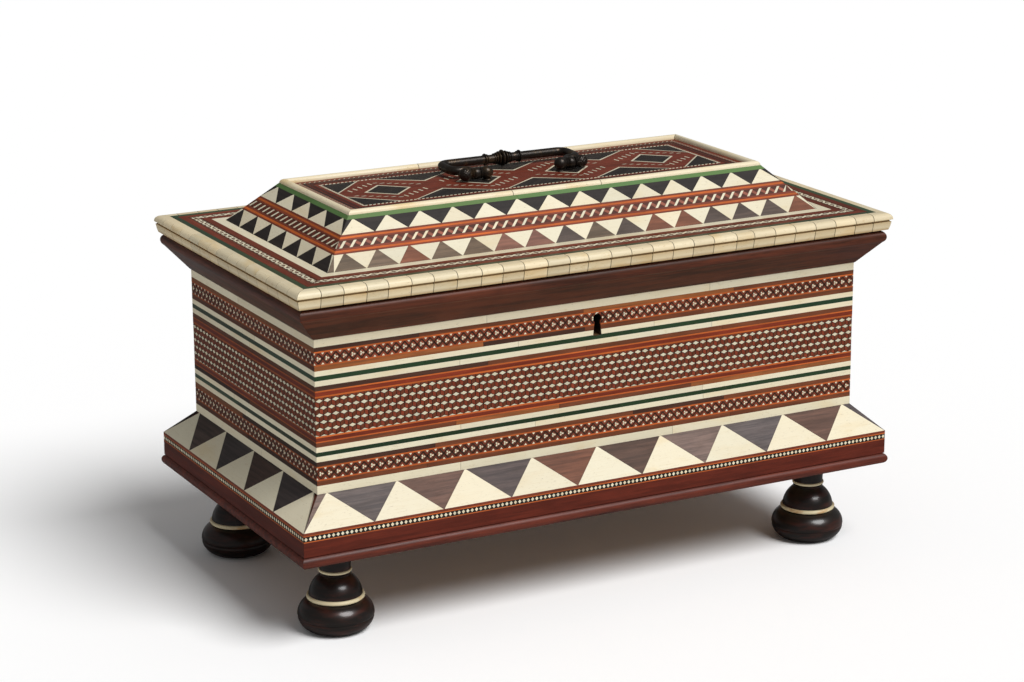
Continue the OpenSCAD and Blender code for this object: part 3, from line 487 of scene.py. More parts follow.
def inset(outlines, amount):
    """Moves each corner of counterclockwise outlines inwards along its bisector:
    corner + amount * (n1 + n2) / (1 + n1 . n2), where n1 and n2 are its edges' normals."""
    edge = np.roll(outlines, -1, axis=1) - outlines
    length = np.maximum(np.linalg.norm(edge, axis=2, keepdims=True), 1e-9)
    after = np.stack([-edge[..., 1], edge[..., 0]], axis=2) / length
    before = np.roll(after, 1, axis=1)
    share = 1 + (after * before).sum(axis=2, keepdims=True)
    return outlines + amount * (after + before) / np.maximum(share, 0.4)


def grid_quads(rows, count):
    """Quads between neighbouring rings of a grid; each ring has count points and closes."""
    i, j = np.meshgrid(np.arange(rows - 1), np.arange(count), indexing="ij")
    k = (j + 1) % count
    return np.stack([i * count + j, i * count + k, (i + 1) * count + k, (i + 1) * count + j],
                    axis=2).reshape(-1, 4)


def prism_faces(start, k, rings):
    """Faces of prisms whose rings of k corners follow each other from each start: two caps,
    and quads between neighbouring rings."""
    corner = np.arange(k)
    after = (corner + 1) % k
    faces = [start + corner, start + (rings - 1) * k + corner[::-1]]
    for ring in range(rings - 1):
        quad = np.stack([corner, corner + k, after + k, after], axis=1) + ring * k
        faces += [(start[:, :, None] + quad[None]).reshape(-1, 4)]
    return faces


class Inlay:
    """Gathers prisms of one material into one mesh."""

    def __init__(self):
        self.points, self.faces, self.stain, self.grain = [], [], [], []
        self.count = 0

    def lay(self, place, outlines, colour, turn=0.0, sink=1.1 * mm, lift=0.0, ease=0.06 * mm,
            dirt=0.45):
        """Adds prisms. outlines is (n, k, 2), place maps (u, v, h) to the world, colour is one
        or n, and turn the angle of the grain from u. Rings of corners run from the face down."""
        n, k = outlines.shape[:2]
        if not n:
            return
        rings = [(inset(outlines, ease), lift), (outlines, lift - 0.8 * ease), (outlines, -sink)]
        self.points += [np.stack([place(o[..., 0], o[..., 1], np.full((n, k), h))
                                  for o, h in rings], axis=1).reshape(-1, 3)]
        self.faces += prism_faces(self.count + np.arange(n)[:, None] * 3 * k, k, 3)
        self.count += 3 * n * k
        c, s = np.cos(turn), np.sin(turn)
        flat = np.stack([outlines[..., 0] * c + outlines[..., 1] * s,
                         outlines[..., 1] * c - outlines[..., 0] * s,
                         np.broadcast_to(rng.uniform(0, 90, (n, 1)), (n, k))], axis=2)
        self.grain += [np.repeat(flat[:, None], 3, axis=1).reshape(-1, 3)]
        shade = np.array([1, dirt, dirt])[None, :, None, None]
        colour = np.broadcast_to(np.asarray(colour).reshape(-1, 3), (n, 3))
        full = np.broadcast_to(colour[:, None, None, :] * shade, (n, 3, k, 3)).reshape(-1, 3)
        self.stain += [np.concatenate([full, np.ones((len(full), 1))], axis=1)]

    def build(self, name, body, slot, material, replaces=()):
        """Makes one mesh of all prisms laid so far."""
        add_mesh(name, np.concatenate(self.points), self.faces, body, slot, material, replaces,
                 stain=np.concatenate(self.stain), grain=np.concatenate(self.grain))


def cut(slab, side, outlines, low, high):
    """Keeps outlines inside a strip between low and high and its two mitres: corners that
    stick out are drawn back to the edge, and pieces with next to nothing left are dropped.
    On the front wall they are drawn back from the keyhole too."""
    scrap = 0.12
    v = np.clip(outlines[..., 1], low, high)
    limit = slab.half(side, v)
    u = np.clip(outlines[..., 0], -limit, limit)
    if slab is wall and side == 0:
        middle = outlines[..., 0].mean(axis=1, keepdims=True)
        u = np.where(np.abs(u) < keyhole(v), np.copysign(keyhole(v), middle), u)
    kept = np.stack([u, v], axis=2)

    def area(o):
        x, y = o[..., 0], o[..., 1]
        return 0.5 * (x * np.roll(y, -1, 1) - y * np.roll(x, -1, 1)).sum(axis=1)

    return kept[area(kept) > scrap * np.abs(area(outlines))]


def on(slab, side):
    """The slab's place() for one side."""
    return lambda u, v, h: slab.place(side, u, v, h)


def at(shape, centres):
    """Copies of one outline round each centre."""
    return np.asarray(shape, float)[None] + np.asarray(centres, float)[:, None]


def repeat(inlay, slab, side, shape, centres, low, high, colour, amount, **settings):
    """Lays copies of one shape round the centres, cut to the strip from low to high."""
    outlines = cut(slab, side, at(shape, centres), low, high)
    inlay.lay(on(slab, side), outlines, vary(colour, len(outlines), amount), **settings)


GROUND = {"ease": 0.02 * mm, "dirt": 1.0}


def slanted(reach, inner, high):
    """A slanted bar: its foot runs from -reach to -inner and its head from inner to reach."""
    return [(-reach, -high), (-inner, -high), (reach, high), (inner, high)]


def strip(slab, side, low, high, breaks=(), gap=0.0):
    """Outlines of a strip between two distances up a slab, mitred and cut at the breaks, with
    half a gap on both sides of each break."""
    ends = np.concatenate([[-1.0], np.sort(breaks), [1.0]])
    left, right = ends[:-1] + gap / 2, ends[1:] - gap / 2
    u = np.stack([left, right, right, left], axis=1)
    v = np.broadcast_to([low, low, high, high], u.shape)
    limit = slab.half(side, v)
    return np.stack([np.clip(u, -limit, limit), v], axis=2)


def joints(slab, side, spacing):
    """Places of butt joints along a side, about one spacing apart and never regular."""
    half = float(slab.half(side, 0))
    count = max(int(round(2 * half / spacing)), 1)
    place = (np.arange(1, count) / count * 2 - 1) * half
    return place + rng.uniform(-0.3, 0.3, count - 1) * spacing


def lengths(inlay, slab, side, low, high, spacing, colour, amount, **settings):
    """Lays a strip in short lengths with butt joints, each a little different in colour."""
    outlines = strip(slab, side, low, high, joints(slab, side, spacing))
    inlay.lay(on(slab, side), outlines, vary(colour, len(outlines), amount), **settings)


def row(slab, side, v, pitch, shift=0.0):
    """Centres of repeats along a side at height v. The pitch is fitted to a whole number."""
    half = float(slab.half(side, v))
    count = int(round(2 * half / pitch))
    step = 2 * half / count
    u = (np.arange(-1, count + 1) + 0.5 + shift) * step - half
    return np.stack([u, np.full_like(u, v)], axis=1), step

# %% [markdown]
# ## Strips of the walls
#
# From the cornice down the wall reads: bone, brown and orange, guilloche, orange and brown,
# bone, green, bone, brown, orange, dark red, orange, and then the broad band of tumbling
# blocks; below that the same in reverse. Bone came in short lengths, so its strips have
# butt joints at odd places, and some lengths of brown wood were patched in darker ones.

# %% Lay strips round the keyhole
def beside_keyhole(outline, count=12):
    """The two parts of a strip that crosses the keyhole, left and right of it."""
    (left, low), (right, _), (_, high), _ = outline
    v = np.linspace(low, high, count)
    edge = np.stack([keyhole(v), v], axis=1)
    left_part = np.concatenate([[[left, high], [left, low]], edge * [-1, 1]])
    right_part = np.concatenate([[[right, low], [right, high]], edge[::-1]])
    return np.stack([left_part, right_part])


def lay_strips(inlay, side, outlines, colours, **settings):
    """Lays strips on a wall; on the front, those that cross the keyhole go round it."""
    crossing = ((side == 0) & (outlines[:, 0, 0] < 0) & (outlines[:, 1, 0] > 0)
                & (outlines[:, 0, 1] < key_v + key_r)
                & (outlines[:, 2, 1] > key_v - key_tail))
    colours = np.broadcast_to(colours, (len(outlines), 3))
    inlay.lay(on(wall, side), outlines[~crossing], colours[~crossing], **settings)
    for outline, colour in zip(outlines[crossing], colours[crossing]):
        inlay.lay(on(wall, side), beside_keyhole(outline), colour, **settings)


# %% [markdown]
# The list gives each strip's distance below the cornice in millimetres, from its top edge to
# its bottom edge. The woods of the two short sides are darker, as they look in the photograph:
# partly their own tone and partly painted shade. Some lengths of brown are patched in near black
# or tan.

# %% Lay the strips
wall_strips = [
    (0.0, 5.0, "bone"), (5.0, 7.5, "brown"), (7.5, 8.4, "orange"), (15.6, 16.5, "orange"),
    (16.5, 19.4, "brown"), (19.4, 22.6, "bone"), (22.6, 25.4, "green"), (25.4, 28.7, "bone"),
    (28.7, 31.5, "brown"), (31.5, 32.4, "orange"), (32.4, 34.7, "dark red"),
    (34.7, 35.8, "orange"), (59.3, 60.3, "orange"), (60.3, 62.5, "dark red"),
    (62.5, 63.3, "orange"), (63.3, 66.0, "brown"), (66.0, 69.2, "bone"), (69.2, 71.8, "green"),
    (71.8, 75.1, "bone"), (75.1, 77.9, "brown"), (77.9, 78.8, "orange"), (86.0, 86.9, "orange"),
    (86.9, 89.8, "brown"), (89.8, 95.0, "bone")]
patched_share, tan_share = 0.22, 0.3
wood_colours = {"orange": ORANGE, "dark red": DARK_RED}
# The woods of the short sides are multiplied by these: partly their own darker tone, partly
# painted shade.
short_brown_tone_and_shade, short_stripe_tone_and_shade = 0.6, 0.65
bone_strips, green_strips, wood_strips = Inlay(), Inlay(), Inlay()
for side in SIDES:
    for top, bottom, kind in wall_strips:
        low, high = wall.width - bottom * mm, wall.width - top * mm
        spacing = {"bone": 120, "green": 90, "brown": 90}.get(kind, 400) * mm
        outlines = strip(wall, side, low, high, joints(wall, side, spacing), 0.1 * mm)
        n = len(outlines)
        if kind == "bone":
            lay_strips(bone_strips, side, outlines, vary(WALL_BONE, n, 0.06), dirt=0.2)
        elif kind == "green":
            lay_strips(green_strips, side, outlines, vary(GREEN, n, 0.35))
        elif kind == "brown":
            kinds = rng.random(n)
            patched = between(BROWN, EBONY, 0.65 * (kinds < patched_share))
            toned = between(patched, TAN, 0.8 * (kinds > 1 - tan_share))
            lay_strips(wood_strips, side, outlines, toned * (short_brown_tone_and_shade if side % 2 else 1))
        else:
            colour = wood_colours[kind] * (short_stripe_tone_and_shade if side % 2 else 1)
            lay_strips(wood_strips, side, outlines, vary(colour, n, 0.12))
bone_strips.build("wall_bone", "case", "bone", bone_veneer, ["wall_bone_bands"])
green_strips.build("wall_green", "case", "green_bone", bone_veneer, ["wall_green_lines"])
wood_strips.build("wall_strips", "case", "striped_wood", wood_veneer, ["wall_striped_strips"])

# %% [markdown]
# ## Tumbling blocks
#
# A pale rhomb with two darker parallelograms under it reads as a cube. The pieces were sawn
# from rods glued together and laid row by row, each row half a step along. All three shapes
# follow from the step, the row height and the rhomb's own height; the rhombs are drawn in a
# little, so that dark glue shows round them.

# %% Lay the centre band
band_top, band_low = wall.width - 35.8 * mm, wall.width - 59.3 * mm
step_wanted, row_step = 5.25 * mm, 4.38 * mm
rhomb_high = 1.28 * mm
first_row = band_top - 1.85 * mm
mosaic_bone, mosaic_wood, mosaic_ground = Inlay(), Inlay(), Inlay()
for side in SIDES:
    lay_strips(mosaic_ground, side, strip(wall, side, band_low, band_top), GLUE,
               lift=-0.16 * mm, **GROUND)
    for number in range(-1, 6):
        level = first_row - number * row_step
        centres, step = row(wall, side, level, step_wanted, 0.5 * (number % 2))
        w, drop = step / 2, row_step - rhomb_high
        wide, high = 0.88 * w, 0.92 * rhomb_high
        rhomb = [(-wide, 0), (0, -high), (wide, 0), (0, high)]
        left = [(-w, 0), (-w, -drop), (0, -rhomb_high - drop), (0, -rhomb_high)]
        right = [(0, -rhomb_high), (0, -rhomb_high - drop), (w, -drop), (w, 0)]
        for shape, inlay, colour, gap in ((rhomb, mosaic_bone, WALL_BONE * 0.84, 0.0),
                                          (left, mosaic_wood, MOSAIC_RED, 0.15 * mm),
                                          (right, mosaic_wood, MOSAIC_BROWN, 0.15 * mm)):
            outlines = cut(wall, side, at(shape, centres), band_low, band_top)
            outlines = inset(outlines, gap) if gap else outlines
            inlay.lay(on(wall, side), outlines, vary(colour, len(outlines), 0.1),
                      turn=0.6, sink=0.7 * mm, ease=0.09 * mm)

# %% [markdown]
# ## Guilloche
#
# Two rows of dark rods cross like a plait. In each eye sits a little trefoil of three bone
# rhombs, and between the eyes small bone triangles stand on the edges of the band.

# %% Lay the guilloche
def leaf(angle, near, far, half):
    """A rhomb that points away from the middle at an angle."""
    c, s = math.cos(angle), math.sin(angle)
    corners = [(near, 0), ((near + far) / 2, -half), (far, 0), ((near + far) / 2, half)]
    return [(x * c - y * s, x * s + y * c) for x, y in corners]


guilloche_step, guilloche_h = 5.58 * mm, 7.2 * mm
eye_h, bar_half, leaf_end, leaf_half = 0.43 * guilloche_h, 0.45 * mm, 1.65 * mm, 0.66 * mm
tooth_half, tooth_h = 1.0 * mm, 1.3 * mm
small_piece = {"sink": 0.7 * mm, "ease": 0.06 * mm}
for top in (8.4 * mm, 78.8 * mm):
    high = wall.width - top
    low = high - guilloche_h
    mid = (low + high) / 2
    for side in SIDES:
        ground = strip(wall, side, low, high, joints(wall, side, 70 * mm))
        lay_strips(mosaic_wood, side, ground, vary(RED_BROWN, len(ground), 0.2),
                   lift=-0.12 * mm, **GROUND)
        centres, step = row(wall, side, mid, guilloche_step)
        corners = [(-step / 2, 0), (0, -eye_h), (step / 2, 0), (0, eye_h)]
        for a, b in zip(corners, corners[1:] + corners[:1]):
            a, b = np.array(a), np.array(b)
            side_step = bar_half * np.array([b[1] - a[1], a[0] - b[0]]) / np.linalg.norm(b - a)
            bar = [a - side_step, a + side_step, b + side_step, b - side_step]
            repeat(mosaic_wood, wall, side, bar, centres, low, high, LATTICE, 0.3,
                   sink=0.7 * mm, lift=-0.04 * mm, ease=0.05 * mm)
        for angle in (0.0, 2.2, -2.2):
            repeat(mosaic_bone, wall, side, leaf(angle, 0.02 * mm, leaf_end, leaf_half), centres,
                   low, high, WALL_BONE, 0.1, **small_piece)
        between_eyes = centres + [step / 2, 0]
        for edge, tip in ((low, 1), (high, -1)):
            tooth = [(-tooth_half, 0), (tooth_half, 0), (0, tooth_h * tip)]
            repeat(mosaic_bone, wall, side, tooth[::tip], between_eyes + [0, edge - mid],
                   low, high, WALL_BONE, 0.1, **small_piece)

# %% [markdown]
# ## Edge of the plinth
#
# Under the plinth's slope runs a chain of bone lozenges on black between two orange lines,
# above a plain red-brown strip.

# %% Lay the plinth's edge
edge_strips = [(0.0, 1.5, RED_BROWN), (1.5, 2.2, ORANGE), (5.4, 6.0, ORANGE),
               (6.0, 15.2, PLINTH_RED)]
lozenge_step, lozenge_half, lozenge_h = 2.95 * mm, 1.12 * mm, 1.3 * mm
plinth_wood = Inlay()
for side in SIDES:
    top = plinth_edge.width
    for a, b, colour in edge_strips:
        outlines = strip(plinth_edge, side, max(top - b * mm, 0), top - a * mm)
        plinth_wood.lay(on(plinth_edge, side), outlines, colour)
    low, high = top - 5.4 * mm, top - 2.2 * mm
    mid = (low + high) / 2
    plinth_wood.lay(on(plinth_edge, side), strip(plinth_edge, side, low, high), EBONY * 0.7,
                    lift=-0.08 * mm, **GROUND)
    centres, _ = row(plinth_edge, side, mid, lozenge_step)
    lozenge = [(-lozenge_half, 0), (0, -lozenge_h), (lozenge_half, 0), (0, lozenge_h)]
    repeat(mosaic_bone, plinth_edge, side, lozenge, centres, low, high, WALL_BONE, 0.14,
           sink=0.7 * mm, ease=0.08 * mm)
mosaic_ground.build("mosaic_ground", "case", "mosaic", wood_veneer, ["centre_mosaic_band"])
mosaic_wood.build("mosaic_wood", "case", "mosaic", wood_veneer, ["guilloche_bands"])
mosaic_bone.build("mosaic_bone", "case", "bone", fine_bone)
plinth_wood.build("plinth_edge_strips", "case", "mosaic", wood_veneer, ["plinth_edge_veneer"])

# %% [markdown]
# ## Rows of triangles
#
# Bone triangles stand on the plinth with dark ones hanging between them. On the lid the same
# play is made twice, and in the lower row the dark pieces stand and the bone hangs. The tips
# are blunt, so that no piece ends in a splinter. End pieces are cut on the mitre. The dark
# pieces of the short sides are nearer to black, as they look in the photograph: partly their own
# wood and partly painted shade.

# %% Lay the plinth's triangles
foot_gap, tip_w, glue_gap = 0.5 * mm, 1.2 * mm, 0.05 * mm


def upright(count, pitch, low, high):
    """Standing triangles, one for each pitch."""
    u = (np.arange(count) - (count - 1) / 2) * pitch
    foot = (pitch - foot_gap) / 2
    return at([(-foot, low), (foot, low), (tip_w / 2, high), (-tip_w / 2, high)],
              np.stack([u, 0 * u], axis=1))


def hanging(count, pitch, low, high):
    """The pieces between standing triangles, one more than those."""
    u = (np.arange(count + 1) - count / 2) * pitch
    foot, head = foot_gap / 2 - glue_gap, (pitch - tip_w) / 2 - glue_gap
    return at([(-foot, low), (foot, low), (head, high), (-head, high)],
              np.stack([u, 0 * u], axis=1))


plinth_bone, plinth_dark = Inlay(), Inlay()
plinth_tones = np.array([rgb(116, 98, 92), rgb(92, 84, 84), rgb(102, 76, 66), rgb(86, 76, 76),
                         rgb(108, 68, 50), rgb(90, 68, 58)])
# The short sides' dark pieces are drawn towards black: partly their own wood, partly painted
# shade.
long_black, short_black_tone_and_shade = 0.1, 0.7
for side in SIDES:
    count = 5 if side % 2 else 9
    pitch = 2 * float(plinth_slope.half(side, 0)) / count
    width = plinth_slope.width
    stand = cut(plinth_slope, side, upright(count, pitch, 0, width), 0, width)
    hang = cut(plinth_slope, side, hanging(count, pitch, 0, width), 0, width)
    plinth_bone.lay(on(plinth_slope, side), stand, vary(BONE, len(stand), 0.05),
                    ease=0.1 * mm)
    picked = plinth_tones[np.arange(len(hang)) % len(plinth_tones)]
    share = np.full(len(hang), short_black_tone_and_shade if side % 2 else long_black)
    plinth_dark.lay(on(plinth_slope, side), hang,
                    between(vary(picked, len(hang), 0.1), EBONY, share), ease=0.1 * mm)
plinth_bone.build("plinth_bone", "case", "bone", bone_veneer, ["plinth_bone_triangles"])
plinth_dark.build("plinth_dark", "case", "rosewood", streaky_veneer,
                  ["plinth_rosewood_triangles"])

# %% [markdown]
# On the lid's front the lower row isn't centred: in the photograph it is a little closer set
# and stands a little to the right, so it has two more triangles, which the mitres cut.

# %% Lay the lid's slope
front_squeeze, front_shift = 0.985, 1.8 * mm
green_low = lid_slope.width - 3 * mm
upper_low = green_low - 10 * mm
lower_high = upper_low - 12.9 * mm
lid_bone, lid_dark, lid_green, lid_wood, lid_small = (Inlay() for _ in range(5))
lower_tones = [rgb(132, 92, 78), rgb(146, 98, 78), rgb(98, 88, 84), rgb(106, 90, 74),
               rgb(124, 78, 58), rgb(112, 94, 78), rgb(112, 72, 54), rgb(86, 74, 68)]
for side in SIDES:
    here = on(lid_slope, side)
    upper_count, lower_count = (5, 7) if side % 2 else (14, 16)
    upper_pitch = 2 * float(lid_slope.half(side, upper_low)) / upper_count
    lower_pitch = 2 * float(lid_slope.half(side, 0)) / lower_count
    for shape, count, pitch, low, high, inlay, colour in (
            (upright, upper_count, upper_pitch, upper_low, green_low, lid_bone, BONE),
            (hanging, upper_count, upper_pitch, upper_low, green_low, lid_dark, EBONY),
            (upright, lower_count, lower_pitch, 0, lower_high, lid_dark, None),
            (hanging, lower_count, lower_pitch, 0, lower_high, lid_bone, BONE)):
        shifted = side == 0 and high == lower_high
        centred = shape(count + 2 * shifted, pitch, low, high)
        if shifted:
            centred = centred * [front_squeeze, 1] + [front_shift, 0]
        outlines = cut(lid_slope, side, centred, low, high)
        n = len(outlines)
        if colour is None:
            picked = np.array(lower_tones)[rng.integers(0, len(lower_tones), n)]
            colour = EBONY * 1.1 if side % 2 else picked
        inlay.lay(here, outlines, vary(colour, n, 0.07), ease=0.08 * mm)
    lengths(lid_green, lid_slope, side, green_low, lid_slope.width, 100 * mm, BRIGHT_GREEN, 0.15)

# %% [markdown]
# ## Rope band of the slope
#
# Between the two rows runs a rope: slanted bone bars with pink-red cells between them, and a
# striped strip of orange and red-brown wood above and below.

# %% Lay the rope band
rope_strips = [(0.0, 1.1, RED_BROWN), (1.1, 2.6, ORANGE), (2.6, 3.9, RED_BROWN),
               (9.0, 10.2, RED_BROWN), (10.2, 11.7, ORANGE), (11.7, 12.9, RED_BROWN)]
bar_step, bar_w, slant = 6.85 * mm, 2.0 * mm, 4.4 * mm
rope_low, rope_high = lower_high + 3.9 * mm, lower_high + 9.0 * mm
for side in SIDES:
    for a, b, colour in rope_strips:
        lengths(lid_wood, lid_slope, side, lower_high + a * mm, lower_high + b * mm, 200 * mm,
                colour, 0.12)
    lid_wood.lay(on(lid_slope, side), strip(lid_slope, side, rope_low, rope_high), ROPE_GROUND,
                 lift=-0.1 * mm, **GROUND)
    centres, step = row(lid_slope, side, (rope_low + rope_high) / 2, bar_step)
    h = (rope_high - rope_low) / 2 - 0.2 * mm
    bar = slanted((slant + bar_w) / 2, (slant - bar_w) / 2, h)
    cell = [(1.0 * mm, -h * 0.95), (2.0 * mm, -h * 0.1), (-1.0 * mm, h * 0.95),
            (-2.0 * mm, h * 0.1)]
    repeat(lid_small, lid_slope, side, bar, centres, rope_low, rope_high, BONE, 0.07,
           sink=0.8 * mm, ease=0.1 * mm)
    # The short sides' cells take the darker brown, which is partly painted shade.
    cell_wood = RED_BROWN * short_brown_tone_and_shade if side % 2 else PINK_WOOD
    repeat(lid_wood, lid_slope, side, cell, centres + [step / 2, 0], rope_low, rope_high,
           cell_wood, 0.12, sink=0.8 * mm, ease=0.12 * mm, lift=-0.02 * mm)

# %% [markdown]
# ## Flat border of the lid
#
# Inside the bone moulding lie a dark green line, a red-brown strip, a two-strand twist of bone
# on brown, another red-brown strip and a mitred bone fillet. The twist is drawn as two
# zigzags in opposite phase; one passes over, and the other is cut at each crossing.

# %% Lay the border
border_strips = [(0.0, 4.0, lid_green, DARK_GREEN, 0.3), (4.0, 8.7, lid_wood, BORDER_WOOD, 0.14),
                 (15.7, 20.4, lid_wood, BORDER_WOOD, 0.14), (20.4, 27.2, lid_bone, BONE, 0.05)]
twist_low, twist_high, twist_step, strand = 8.7 * mm, 15.7 * mm, 6.4 * mm, 2.1 * mm
for side in SIDES:
    for a, b, inlay, colour, amount in border_strips:
        lengths(inlay, lid_border, side, a * mm, b * mm, 130 * mm, colour, amount,
                ease=(0.1 if inlay is lid_bone else 0.06) * mm)
    lid_wood.lay(on(lid_border, side), strip(lid_border, side, twist_low, twist_high),
                 TWIST_GROUND, lift=-0.1 * mm, **GROUND)
    mid = (twist_low + twist_high) / 2
    centres, step = row(lid_border, side, mid, twist_step)
    h, half = 2.3 * mm, step / 2
    wide, gap_end = 0.6 * strand, 0.3
    over = slanted(half + wide, half - wide, h)
    under = [[(-half * s - wide, h * s), (-half * t - wide, h * t),
              (-half * t + wide, h * t), (-half * s + wide, h * s)]
             for s, t in ((1.0, gap_end), (-gap_end, -1.0))]
    even = np.arange(len(centres)) % 2 == 0
    for shapes, chosen in (([over], even), (under, even),
                           ([[(x, -y) for x, y in over[::-1]]], ~even),
                           ([[(x, -y) for x, y in o[::-1]] for o in under], ~even)):
        for shape in shapes:
            repeat(lid_small, lid_border, side, shape, centres[chosen], twist_low, twist_high,
                   BONE, 0.08, sink=0.8 * mm, ease=0.08 * mm)
lid_bone.build("lid_bone", "lid", "bone", bone_veneer, ["lid_bone_triangles", "lid_bone_fillet"])
lid_dark.build("lid_dark", "lid", "ebony", wood_veneer, ["lid_dark_triangles"])
lid_green.build("lid_green", "lid", "green_bone", bone_veneer, ["lid_green_lines"])
lid_wood.build("lid_strips", "lid", "striped_wood", wood_veneer,
               ["lid_rope_band", "lid_border_mosaic"])
lid_small.build("lid_rope_bone", "lid", "bone", fine_bone)

# %% [markdown]
# ## Top panel
#
# Straps cross on a black ground, four cells long. A bone line frames every black piece, so the
# straps are simply what is left between the frames. One set of straps carries slanted bone
# dashes and the other a wavy line of small rhombs. The border repeats both.

# %% Lay the top panel
panel_x, panel_y = panel_high.x, panel_high.y
panel_z = panel_high.z
panel_border = 13.8 * mm
ground_x, ground_y = panel_x - panel_border, panel_y - panel_border
cells = 4
cell = 2 * ground_x / cells
frame_w = 1.3 * mm


def flat(u, v, h):
    """World points on the panel: its u and v are the world's x and y."""
    return np.stack([u, v, panel_z + h], axis=-1)


def framed(outlines, bare=()):
    """Lays black pieces with a bone frame: each side of the frame is one piece. Sides named
    as bare lie on the border and have none."""
    inner = inset(outlines, frame_w)
    panel_dark.lay(flat, inset(outlines, frame_w + 0.08 * mm), vary(EBONY, len(outlines), 0.08),
                   ease=0.08 * mm, turn=0.7)
    k = outlines.shape[1]
    for i in set(range(k)) - set(bare):
        j = (i + 1) % k
        sides = np.stack([outlines[:, i], outlines[:, j], inner[:, j], inner[:, i]], axis=1)
        panel_bone.lay(flat, sides, vary(BONE * 0.94, len(sides), 0.06), ease=0.07 * mm)


def along(start, end, spacing, shape, margin, tone, amount=0.12, ease=0.1 * mm):
    """Lays bone copies of a shape along a line, turned with it, a margin from its ends. tone
    says how pale they are."""
    start, end = np.array(start), np.array(end)
    length = np.linalg.norm(end - start)
    d = (end - start) / length
    count = int((length - 2 * margin) / spacing) + 1
    s = (length - (count - 1) * spacing) / 2 + np.arange(count) * spacing
    turned = np.array(shape) @ np.array([d, [-d[1], d[0]]])
    outlines = at(turned, start + s[:, None] * d)
    panel_bone.lay(flat, outlines, vary(BONE * tone, len(outlines), amount), sink=0.8 * mm,
                   ease=ease)


panel_dark, panel_bone, panel_wood = Inlay(), Inlay(), Inlay()
whole = np.array([[(-panel_x, -panel_y), (panel_x, -panel_y), (panel_x, panel_y),
                   (-panel_x, panel_y)]])
panel_wood.lay(flat, whole, STRAP_WOOD, lift=-0.1 * mm, **GROUND)
node_clear, lozenge_share, tip_share = 15.75 * mm, 0.47, 0.365
triangle_gap, corner_clear = 6 * mm, 4.5 * mm
across_half, tall_half = cell / 2 - node_clear, lozenge_share * ground_y
centres = np.stack([(np.arange(cells) + 0.5) * cell - ground_x, np.zeros(cells)], axis=1)
framed(at([(-across_half, 0), (0, -tall_half), (across_half, 0), (0, tall_half)], centres))
base, tip_y = (cell - triangle_gap) / 2, tip_share * ground_y
legs = np.array([cell / 2 - corner_clear, ground_y - corner_clear])
nodes_x = np.arange(1, cells) * cell - ground_x
for y in (-1, 1):
    triangle = [(-base * y, 0), (0, -y * (ground_y - tip_y)), (base * y, 0)]
    framed(at(triangle, np.stack([nodes_x, np.full(cells - 1, y * ground_y)], axis=1)), [2])
    for x in (-1, 1):
        corner = [(0, 0), (-x * legs[0], 0), (0, -y * legs[1])]
        ordered, bare = (corner, [0, 2]) if x * y > 0 else (corner[::-1], [1, 2])
        framed(at(ordered, [(x * ground_x, y * ground_y)]), bare)

# %% [markdown]
# The ornament on the straps is one slanted bar in four sizes, repeated along straight lines:
# between the frames, and twice round the border.

# %% Lay the straps' ornament
dash = slanted(1.5 * mm, 0.2 * mm, 2.2 * mm)
wave = slanted(1.7 * mm, 0.4 * mm, 0.9 * mm)
lower_end = np.array([(-0.5 * mm), -(tall_half + ground_y - triangle_gap / 2) / 2])
upper_end = np.array([(across_half + cell / 2) / 2 + 2 * mm, -tip_y / 2 + 1 * mm])
for centre in centres:
    for turned in (1, -1):
        along(centre + lower_end * turned, centre + upper_end * turned, 5.8 * mm, dash, 2 * mm,
              0.88)
        mirror = np.array([-turned, turned])
        along(centre + lower_end * mirror, centre + upper_end * mirror, 4.6 * mm, wave, 2 * mm,
              0.7, 0.15, 0.12 * mm)
rope_dash = slanted(1.35 * mm, -0.35 * mm, 0.8 * mm)
small_dash = slanted(1.3 * mm, 0.5 * mm, 0.95 * mm)
corners = [np.array(c) for c in ((-1, -1), (1, -1), (1, 1), (-1, 1))]
for a, b in zip(corners, corners[1:] + corners[:1]):
    for off, shape, spacing, tone in ((-0.3 * mm, rope_dash, 2.75 * mm, 0.92),
                                      (9.6 * mm, small_dash, 3.4 * mm, 0.7)):
        size = np.array([ground_x + off, ground_y + off])
        along(a * size, b * size, spacing, shape, 0.5 * mm, tone)
    for off, w, colour in ((4.2 * mm, 1.2 * mm, DARK_LINE), (7.2 * mm, 0.8 * mm, EBONY)):
        outer, inner = (np.array([ground_x, ground_y]) + off + e for e in (w, -w))
        outlines = np.array([[a * outer, b * outer, b * inner, a * inner]])
        panel_wood.lay(flat, outlines, colour, lift=-0.02 * mm)
panel_wood.build("panel_straps", "lid", "mosaic", wood_veneer, ["top_panel_strapwork"])
panel_dark.build("panel_black", "lid", "ebony", streaky_veneer, ["top_panel_ground"])
panel_bone.build("panel_bone", "lid", "bone", fine_bone)

# %% [markdown]
# ## Bone mouldings
#
# The edge of the lid is a moulding of short bone blocks: a round over a small groove over a
# face that leans out a little. A profile is carried along each side, block by block. At both
# ends of a block the profile is drawn in a little, which leaves the fine dark joints.

